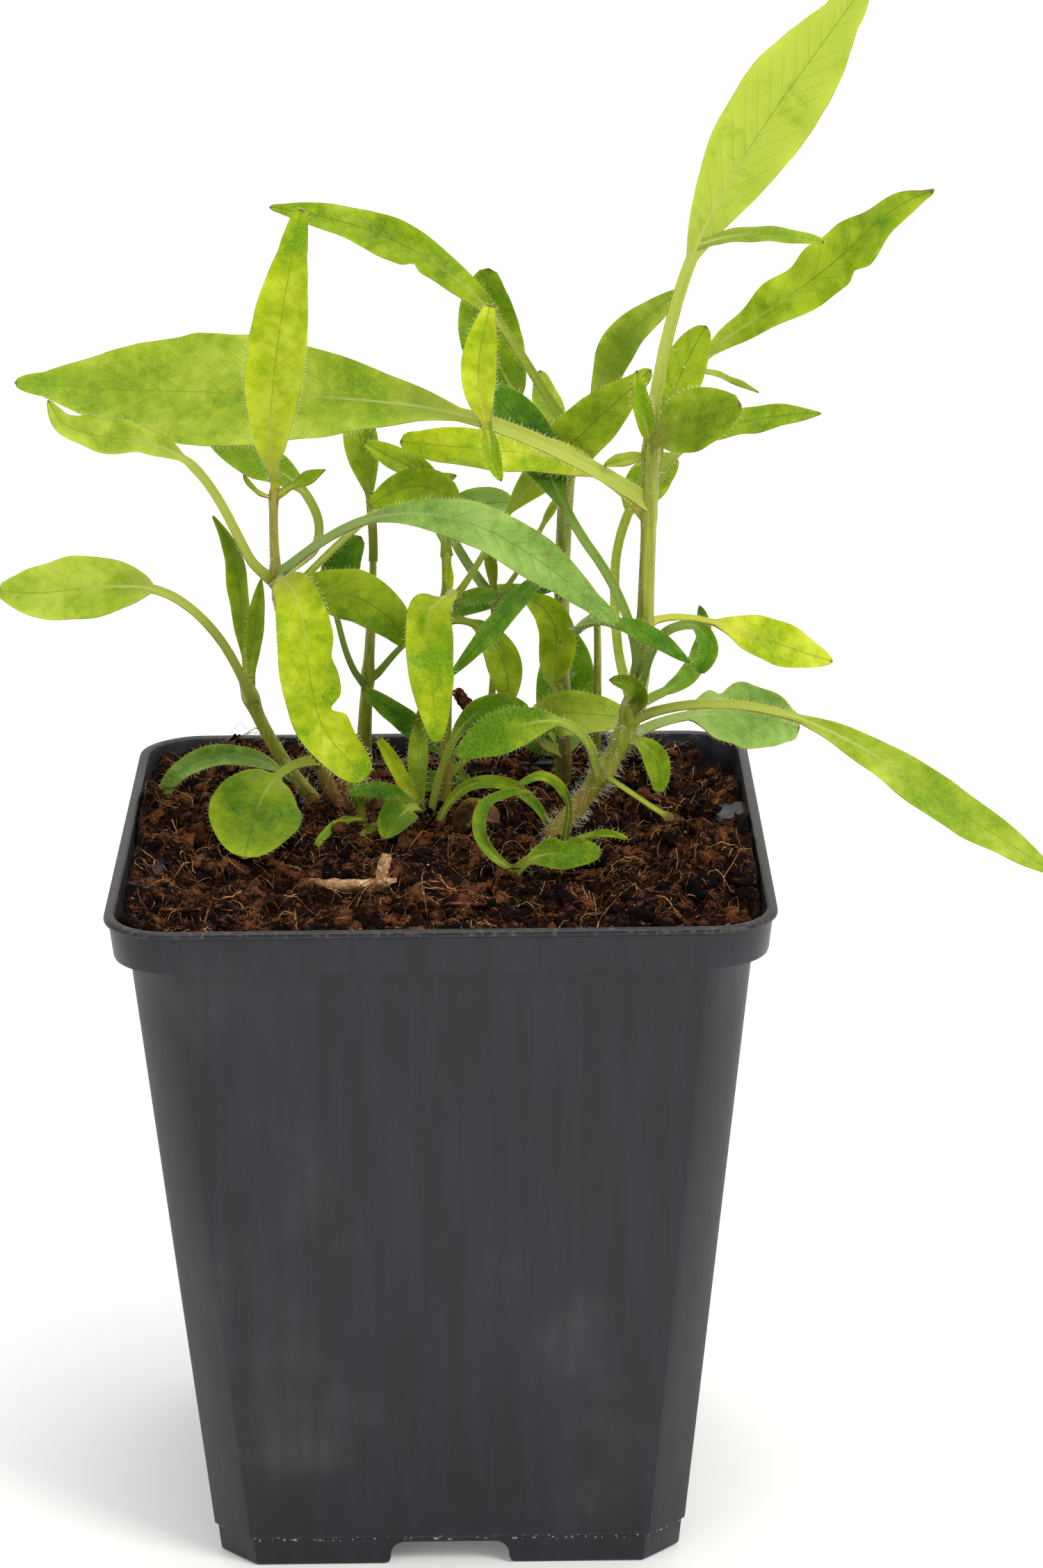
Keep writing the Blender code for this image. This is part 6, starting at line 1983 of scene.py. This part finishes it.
@dataclass
class Studio:
    """A plain pale floor, soft light and the camera."""

    axis: PotAxis
    lens: float = 106.7
    sensor: float = 36.0
    aim_right: float = 11.2
    aim_height: float = 104.5
    distance: float = 652.2
    tilt: float = 17.61
    swing: float = -0.47
    roll: float = -0.48
    room_light: float = 0.62
    floor_half: float = 1.6
    floor_back: float = 1.4
    floor_round: float = 0.5
    backdrop_height: float = 1.8

    FLOOR_STEPS = 12
    # Each lamp's name, its place in metres from the pot's axis, its sides in metres, its watts and colour
    LAMPS = (
        ("key_light", (0.75, -0.65, 0.8), 0.4, 8.6, "#fffaf2"),
        ("fill_light", (-0.7, -0.9, 0.5), 0.7, 1.6, "#f6faff"),
        ("top_light", (0.0, 0.15, 1.1), 0.6, 4.5, "#ffffff"),
    )

    def camera(self) -> None:
        """Set up the camera that looks at the plant from the front and a little above."""
        tilt, swing, roll = (math.radians(angle) for angle in (self.tilt, self.swing, self.roll))
        back = Vector((math.sin(swing) * math.cos(tilt), -math.cos(swing) * math.cos(tilt), math.sin(tilt)))
        level = (-back).cross(UP).normalized()
        rise = level.cross(-back)
        right = level * math.cos(roll) + rise * math.sin(roll)
        up = rise * math.cos(roll) - level * math.sin(roll)
        data = bpy.data.cameras.new("plant_camera")
        data.lens = self.lens
        data.sensor_width = self.sensor
        data.clip_end = 20.0
        camera = bpy.data.objects.new("plant_camera", data)
        bpy.context.scene.collection.objects.link(camera)
        aim = Vector((self.aim_right, 0.0, self.aim_height))
        place = Vector(self.axis.place(aim + back * self.distance))
        turn = Matrix((right, up, back)).transposed().to_4x4()
        camera.matrix_world = Matrix.Translation(place) @ turn
        bpy.context.scene.camera = camera

    def lamp(
        self, name: str, place: tuple[float, float, float], size: float, power: float, colour: str
    ) -> None:
        """Add a square soft light that faces the plant.

        Args:
            name: The light's name.
            place: Where it stands, in metres from the pot's axis.
            size: The length of its sides in metres.
            power: Its power in watts.
            colour: Its colour.
        """
        data = bpy.data.lights.new(name, "AREA")
        data.shape = "SQUARE"
        data.size = size
        data.energy = power
        data.color = linear(colour)[:3]
        light = bpy.data.objects.new(name, data)
        light.location = Vector(place) + Vector((self.axis.x, self.axis.y, 0.0))
        aim = Vector((self.axis.x, self.axis.y, self.aim_height * MM))
        light.rotation_euler = (aim - light.location).to_track_quat("-Z", "Y").to_euler()
        bpy.context.scene.collection.objects.link(light)

    def floor(self) -> None:
        """Lay the floor with a back that sweeps up behind the plant."""
        turn = self.floor_back - self.floor_round
        profile = [(-self.floor_half, 0.0), (turn, 0.0)]
        for step in range(1, self.FLOOR_STEPS + 1):
            angle = math.pi / 2 * step / self.FLOOR_STEPS
            rise = self.floor_round * (1 - math.cos(angle))
            profile.append((turn + self.floor_round * math.sin(angle), rise))
        profile.append((self.floor_back, self.backdrop_height))
        points = [(x, y, z) for y, z in profile for x in (-self.floor_half, self.floor_half)]
        faces = [(2 * i, 2 * i + 1, 2 * i + 3, 2 * i + 2) for i in range(len(profile) - 1)]
        mesh = bpy.data.meshes.new("studio_floor")
        mesh.from_pydata(points, [], faces)
        mesh.materials.append(FLOOR.material())
        mesh.shade_smooth()
        floor = bpy.data.objects.new("studio_floor", mesh)
        bpy.context.scene.collection.objects.link(floor)

    def world(self) -> None:
        """Fill the room with even white light."""
        world = bpy.data.worlds.new("studio_world")
        world.use_nodes = True
        shade = world.node_tree.nodes["Background"]
        shade.inputs["Color"].default_value = linear("#ffffff")
        shade.inputs["Strength"].default_value = self.room_light
        bpy.context.scene.world = world
        bpy.context.scene.view_settings.view_transform = "Standard"

    def build(self) -> None:
        """Set up the floor, the lights and the camera."""
        self.floor()
        self.world()
        for lamp in self.LAMPS:
            self.lamp(*lamp)
        self.camera()


def main() -> None:
    """Build the looks piece by piece round the frame."""
    logging.basicConfig(level=logging.INFO, format="%(name)s %(message)s")
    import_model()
    axis = PotAxis.from_frame()
    Studio(axis).build()
    NurseryPot(axis).build()
    soil = PottingSoil(axis)
    soil.build()
    BarkChip(axis, soil).build()
    Plant(axis, soil).build()


if __name__ == "__main__":
    main()
